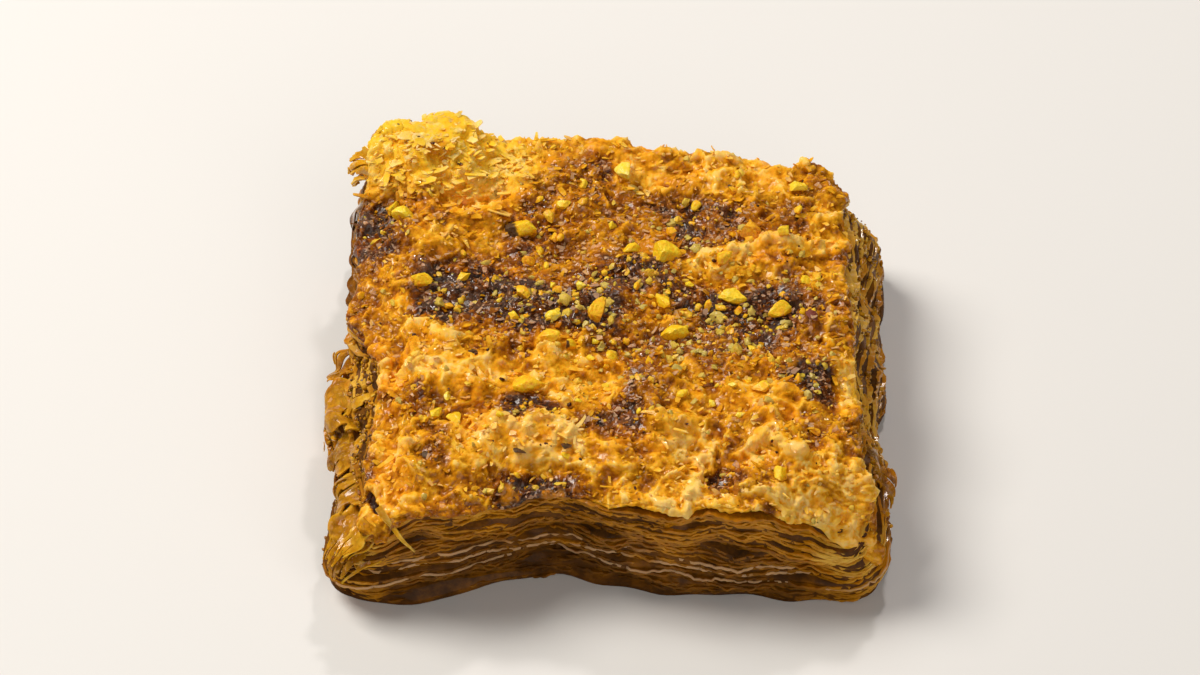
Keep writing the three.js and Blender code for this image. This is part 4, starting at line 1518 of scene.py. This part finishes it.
def lay_nuts(name, bits, subdivisions, seed, flat=1.0):
    """Nuts at their places, where 1 is the usual height and less is flat. Turn, taper, tone and skin are
    drawn where a bit doesn't state them."""
    draw = draws(seed)
    ball = start("nut", "ico_sphere", subdivisions=subdivisions, radius=1)
    ball_points = points_of(ball) * MM
    shapes, tints, feet, skins = [], [], [], []
    for x, y, length, *stated in bits:
        drawn = (360 * draw(), 0.5 * draw(), draw(), 0.3 * (draw() > 0.85))
        turn, taper, tone, skin = stated or drawn
        shape = chopped(ball_points, draw, CUTS)
        uneven = 1 + 0.07 * rough(shape, 0.7, 3, 10 * draw()) + 0.06 * rough(shape, 0.2, 2, 3.3)
        shape = shape * uneven[:, None]
        shape = shape / np.abs(shape).max(axis=0) * 0.5
        to_end = 0.06 * rough(shape, 0.3, 2, 5.1) - shape[:, 0]
        skins.append(smooth(0.55 - 1.1 * skin, 0.6 - 1.1 * skin, to_end))
        shape[:, 1:] *= 1 - taper * smooth(-0.2, 0.55, shape[:, [0]])
        shape = shape * 1.15 * length * (1, 0.64 + 0.25 * draw(), flat * (0.54 + 0.2 * draw()))
        shape = shape @ turns(draw, 1, 0.5, math.radians(turn))[0].T
        spot = place(x, y, 1)
        base = float(ground(spot[0], spot[1])) - 0.25
        feet.append(smooth(0.3, -0.45, shape[:, 2] / np.ptp(shape[:, 2])))
        shapes.append(shape + (spot[0], spot[1], base + 0.2 * flat * length))
        tints.append(tone)
    piece = many(name, ball, np.array(shapes))
    attribute(piece, "tint", np.repeat(tints, len(ball_points)))
    attribute(piece, "foot", np.concatenate(feet))
    attribute(piece, "skin", np.concatenate(skins))
    bpy.data.objects.remove(ball)
    return piece


large_nuts = lay_nuts("pistachio_large", LARGE_BITS, 4, 101)
small_nuts = lay_nuts("pistachio_small", small_bits(), 3, 102)
skin_bits = lay_nuts("pistachio_skins", SKINS, 3, 108, 0.5)
print(len(LARGE_BITS), "large nuts,", SMALL_BITS["count"], "small ones and", len(SKINS), "skins")


# %% Grains of nut
def near_nuts(x, y):
    """How likely a grain of nut is at a place: it falls where the nuts do, and sticks in the wet hollows."""
    pinch, dark = mound(x, y, 9, 1, 19, 14), scorched(x, y)
    return 0.06 + 0.6 * pinch + 1.2 * pinch * max(0, dark - 0.5) + 0.5 * max(0, dark - 0.62)


mid_bit = start("mid_bit", "ico_sphere", subdivisions=2, radius=0.5)
mid_spots = crumb_spots(106, 190, (0.9, 1.9), near_nuts)
nut_bits, bit_places = scatter_crumbs("pistachio_bits", mid_bit, mid_spots, 107, 0.1)
dust_spots = crumb_spots(103, 480, (0.4, 1.3), near_nuts)
nut_dust, dust_places = scatter_crumbs("pistachio_dust", crumb, dust_spots, 104, 0.02)
tint_draw = draws(105)
attribute(nut_bits, "tint", np.repeat([tint_draw() for _ in bit_places], len(mid_bit.data.vertices)))
attribute(nut_dust, "tint", np.repeat([tint_draw() for _ in dust_places], corners))
print(len(bit_places), "bits and", len(dust_places), "grains of dust")

# %% [markdown]
# ## Finishes of the pastry
# One ramp of colours runs from pale dough to scorched sugar. The crust picks its place on the ramp from
# the baked patches, shifted by noise, by its ridges, which are painted lighter, partly as pale dry folds
# and partly as a painted highlight, and by its hollows, which are painted darker, partly for the syrup
# they hold and partly as painted shade. Small cream specks are painted glints, pinkish grey spots are
# partly pale dust and partly painted glints, and a grey veil over the scorched places is a painted
# sheen. A painted image could do the same, but it would blur when you come close. A second ramp, olive
# and gold, is for leaf that is soaked through, and a third, yellow one for the clump. The syrup itself
# is a clear coat over it all.

# %% Crust finish
BAKED = [
    (0.00, colour(255, 207, 114)),
    (0.13, colour(255, 191, 64)),
    (0.27, colour(236, 167, 30)),
    (0.42, colour(200, 132, 10)),
    (0.56, colour(168, 102, 4)),
    (0.70, colour(136, 74, 2)),
    (0.86, colour(98, 48, 3)),
    (1.00, colour(64, 30, 8)),
]
SOAKED = [
    (0.00, colour(240, 192, 84)),
    (0.25, colour(216, 158, 30)),
    (0.5, colour(168, 116, 12)),
    (0.75, colour(116, 74, 6)),
    (1.00, colour(72, 42, 4)),
]
CLUMP = [
    (0.1, colour(255, 160, 14)),
    (0.35, colour(255, 186, 26)),
    (0.6, colour(255, 199, 52)),
    (0.85, colour(255, 218, 136)),
]


def pastry_finish(name, grain_size=0.62, lighter=0.0, coat=0.6, stops=BAKED):
    """The finish of the crust and of all that broke from it. Coat is how much syrup lies on it."""
    look = Finish(
        name,
        Subsurface_Weight=0.3,
        Subsurface_Scale=0.001,
        Subsurface_Radius=(1.0, 0.58, 0.16),
        Coat_Roughness=0.07,
        Coat_IOR=1.4,
        Specular_IOR_Level=0.06,
    )
    brown, ridge = look.attribute("brown"), look.attribute("ridge")
    hollow, crag, ash = look.attribute("hollow"), look.attribute("crag"), look.attribute("ash")
    crumbly = brown.between(0.3, 0.75)
    broad = look.noise(4.5, 4, 0.6)
    middle = look.noise(1.7, 3, 0.6)
    fine = look.noise(0.7, 4, 0.65)
    speckle = look.noise(0.3, 2, 0.6)
    grain = look.cells(grain_size)
    grain_tone = look.cells(grain_size, output="Color")
    shade = brown - lighter + 0.3 * (broad - 0.5) + 0.4 * (middle - 0.5)
    shade = shade + 0.24 * (fine - 0.5) + 0.1 * (speckle - 0.5)
    shade = shade + (0.1 + 0.2 * crumbly) * (grain_tone - 0.5) + 0.16 * (grain - 0.45)
    # Raised places are painted lighter and hollows darker: partly pale folds and gathered syrup, partly
    # painted highlight and painted shade.
    shade = shade - 0.7 * (ridge - 0.5) + 0.45 * (hollow - 0.5) - 0.06 * crag
    base = look.ramp(shade, stops)
    warm = look.noise(7, 3, 0.5).between(0.5, 0.68) * 0.3
    base = look.mix(warm, base, colour(255, 205, 110), "MULTIPLY")
    rich = look.noise(2.6, 3, 0.6).between(0.42, 0.6) * 0.6
    base = look.mix(rich, base, colour(255, 236, 84), "MULTIPLY")
    clump = look.ramp(0.56 + 0.8 * (ridge - 0.5) + 0.5 * (fine - 0.5) + 0.3 * (middle - 0.5), CLUMP)
    base = look.mix(crag.between(0.1, 0.6), base, clump)
    # Pinkish grey spots on the brown places, and on a share of the chips: partly pale dust, partly painted
    # glints.
    dusty_glinting = look.noise(0.5, 3, 0.65).between(0.56, 0.66) * brown.between(0.38, 0.6)
    dusty_glinting = dusty_glinting * (0.5 - 0.25 * brown.between(0.75, 0.9))
    # Painted sheen: a grey veil over the scorched places stands in for a dull reflection on the wet syrup.
    painted_sheen = look.noise(2.4, 3, 0.6).between(0.44, 0.58) * brown.between(0.6, 0.85) * 0.6
    base = look.mix(painted_sheen, base, colour(78, 64, 56))
    base = look.mix(dusty_glinting + 0.66 * ash, base, colour(212, 170, 136))
    base = look.mix(look.attribute("amber") * (0.35 + 0.7 * middle), base, colour(220, 140, 8))
    # Painted glints: small cream specks, thickest on the brown places, stand in for light caught by wet
    # crumbs.
    glint_specks = look.cells(0.6, output="Color").between(0.85, 0.9) * (0.2 + 0.45 * brown.between(0.38, 0.6))
    base = look.mix(glint_specks, base, colour(232, 180, 138))
    look.set(Base_Color=base)
    look.set(Roughness=0.36 + 0.3 * fine)
    wet = look.noise(1.5, 3, 0.6).between(0.46, 0.6)
    syrup = coat * (0.05 + 1.25 * wet + 0.5 * brown.between(0.6, 0.8)) + look.attribute("amber") * 0.4
    look.set(Coat_Weight=syrup * (1 - 0.7 * crag))
    bumps = look.bump(speckle, 0.1, 0.45)
    look.set(Normal=look.bump(0.9 - grain, 0.16, 0.35, bumps))
    return look.material


# %% [markdown]
# ## Finish of the leaves
# The cut sides are soaked and look olive and brown, darkest at the foot, where the syrup stands. Leaves
# lie in level layers, so the noise is squeezed by each leaf's own level. Wood grain from Blender's wave
# texture would be too even for them. A few leaves are painted pale along their edge, a painted
# reflection of the syrup line, and the leaf ends along the right side are painted lighter, a painted
# glow of light through the syrup.

# %% Leaf finish
SIDE = [
    (0.0, colour(46, 24, 2)),
    (0.25, colour(90, 51, 2)),
    (0.5, colour(142, 86, 5)),
    (0.75, colour(198, 128, 12)),
    (1.0, colour(230, 176, 66)),
]


def leaf_finish(name, lightness, coat=0.18):
    """The finish of the leaves at the sides, and of the core between them."""
    look = Finish(
        name,
        Subsurface_Weight=0.2,
        Subsurface_Scale=0.0015,
        Subsurface_Radius=(1.0, 0.6, 0.15),
        Specular_IOR_Level=0.08,
        Coat_Roughness=0.12,
    )
    streak = look.layers(look.attribute("level"), 5, 0.7)
    line = look.layers(look.attribute("level"), 3, 0.25)
    patch = look.noise(6, 3, 0.55)
    fine = look.noise(0.7, 4, 0.65)
    tint, edge, gold = look.attribute("tint"), look.attribute("edge"), look.attribute("gold")
    lumps = look.noise(2.2, 3, 0.6)
    layered = 0.28 * (streak - 0.5) + 0.12 * (line - 0.5) + 0.06 * (tint - 0.5) + 0.1 * edge
    clouds = 0.7 * (patch - 0.5) + 0.5 * (lumps - 0.5) + 0.3 * (fine - 0.5)
    # Gold lightens the leaf ends that soaked up less syrup, and along the right side it is painted light, a
    # glow through the syrup.
    shade = lightness + layered * (1 - 0.6 * gold) + clouds + 0.46 * gold
    # Painted reflection: a pale, broken line along the edge of a few leaves stands in for light on the syrup
    # line.
    syrup_line_reflection = edge.between(0.4, 0.8) * look.noise(5, 2, 0.5).between(0.24, 0.5) * 0.7
    look.set(Base_Color=look.mix(syrup_line_reflection, look.ramp(shade, SIDE), colour(216, 172, 128)))
    look.set(Roughness=0.4 + 0.3 * fine)
    look.set(Coat_Weight=coat * 2.6 * patch)
    look.set(Normal=look.bump(0.5 * line + 0.5 * fine, 0.2, 0.6))
    return look.material


# %% [markdown]
# ## Finish of the nuts
# A pistachio is yellow-green inside, and baked in syrup it turns golden. Each nut has its own tone, fine
# pores and a darker foot, partly a stain where it sits in the syrup and partly painted shade on its
# underside, and a few keep their dark red skin at one end. One colour for all of them would look like
# plastic. The dust is duller, because it is soaked with what it lies in.

# %% Nut finish
NUT = [
    (0.0, colour(206, 120, 4)),
    (0.25, colour(250, 168, 6)),
    (0.5, colour(255, 200, 14)),
    (0.75, colour(255, 218, 44)),
    (1.0, colour(255, 232, 128)),
]


def nut_finish(name, dulled=0.0):
    """The finish of chopped nuts, or dulled, that of their dust."""
    look = Finish(
        name,
        Subsurface_Weight=0.25,
        Subsurface_Scale=0.0012,
        Subsurface_Radius=(1.0, 0.7, 0.1),
        Roughness=0.5,
        Specular_IOR_Level=0.3,
        Coat_Roughness=0.15,
    )
    tint, foot, skin = look.attribute("tint"), look.attribute("foot"), look.attribute("skin")
    cloud = look.noise(1.1, 3, 0.6)
    fine = look.noise(0.3, 3, 0.65)
    pores = look.cells(0.45)
    shade = 0.5 + 0.55 * (tint - 0.5) + 0.9 * (cloud - 0.5) + 0.45 * (fine - 0.5)
    # The foot is painted darker: partly a syrup stain, partly painted shade on the underside of each nut.
    base = look.ramp(shade - 0.35 * foot + 0.3 * (pores - 0.4), NUT)
    base = look.mix(dulled * tint.between(0.1, 0.9), base, colour(190, 166, 84))
    husk = look.mix(tint.between(0.4, 0.8), colour(62, 46, 24), colour(118, 40, 36))
    husk = look.mix(cloud * 0.4, husk, colour(130, 90, 50))
    look.set(Base_Color=look.mix(skin, base, husk))
    look.set(Coat_Weight=0.18 * (1 - skin))
    look.set(Normal=look.bump(fine * 0.6 + pores * 0.4, 0.22, 0.9))
    return look.material


# %% [markdown]
# ## Dress and hand over
# Each piece gets its finish, and rides on the one body. Thin and broken things keep their sharp edges, or
# they would look like wax.

# %% Dress the pastry
flake_look = pastry_finish("flake_finish", 0.9, 0.05, 0.22)
torn_look = pastry_finish("torn_finish", 0.9, 0.05, 0.7, SOAKED)
# Piece, finish, and from how many degrees on its edges stay sharp. With None they are all soft.
PASTRY = [
    (core, leaf_finish("core_finish", 0.3, 0.1), None),
    (lower_leaves, leaf_finish("lower_leaf_finish", 0.32), 40),
    (middle_leaves, leaf_finish("middle_leaf_finish", 0.46), 40),
    (upper_leaves, leaf_finish("upper_leaf_finish", 0.6), 40),
    (crust, pastry_finish("crust_finish"), None),
    (front_left, torn_look, 60),
    (side_sheets, torn_look, 60),
    (clump, flake_look, 50),
    (loose_flakes, flake_look, 50),
    (chips, flake_look, 50),
    (crumbs, flake_look, 60),
    (specks, flake_look, 60),
    (slope_crumbs, torn_look, 60),
]
for piece, look, sharp in PASTRY:
    finish_piece(piece, look, sharp)

# %% Dress the pistachios
nut_look = nut_finish("nut_finish")
dust_look = nut_finish("nut_dust_finish", 0.85)
PISTACHIOS = [
    (large_nuts, nut_look, 28),
    (small_nuts, nut_look, 28),
    (skin_bits, nut_look, 40),
    (nut_bits, dust_look, 40),
    (nut_dust, dust_look, 40),
]
for piece, look, sharp in PISTACHIOS:
    finish_piece(piece, look, sharp)
for model in (flake, chip, crumb, mid_bit):
    bpy.data.objects.remove(model)

# %% Measure
low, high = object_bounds()
reach = [[round(value / MM, 2) for value in corner] for corner in (low, high)]
print("the dressed piece reaches, mm:", reach)
print("made in", round(time.perf_counter() - STARTED, 1), "s")
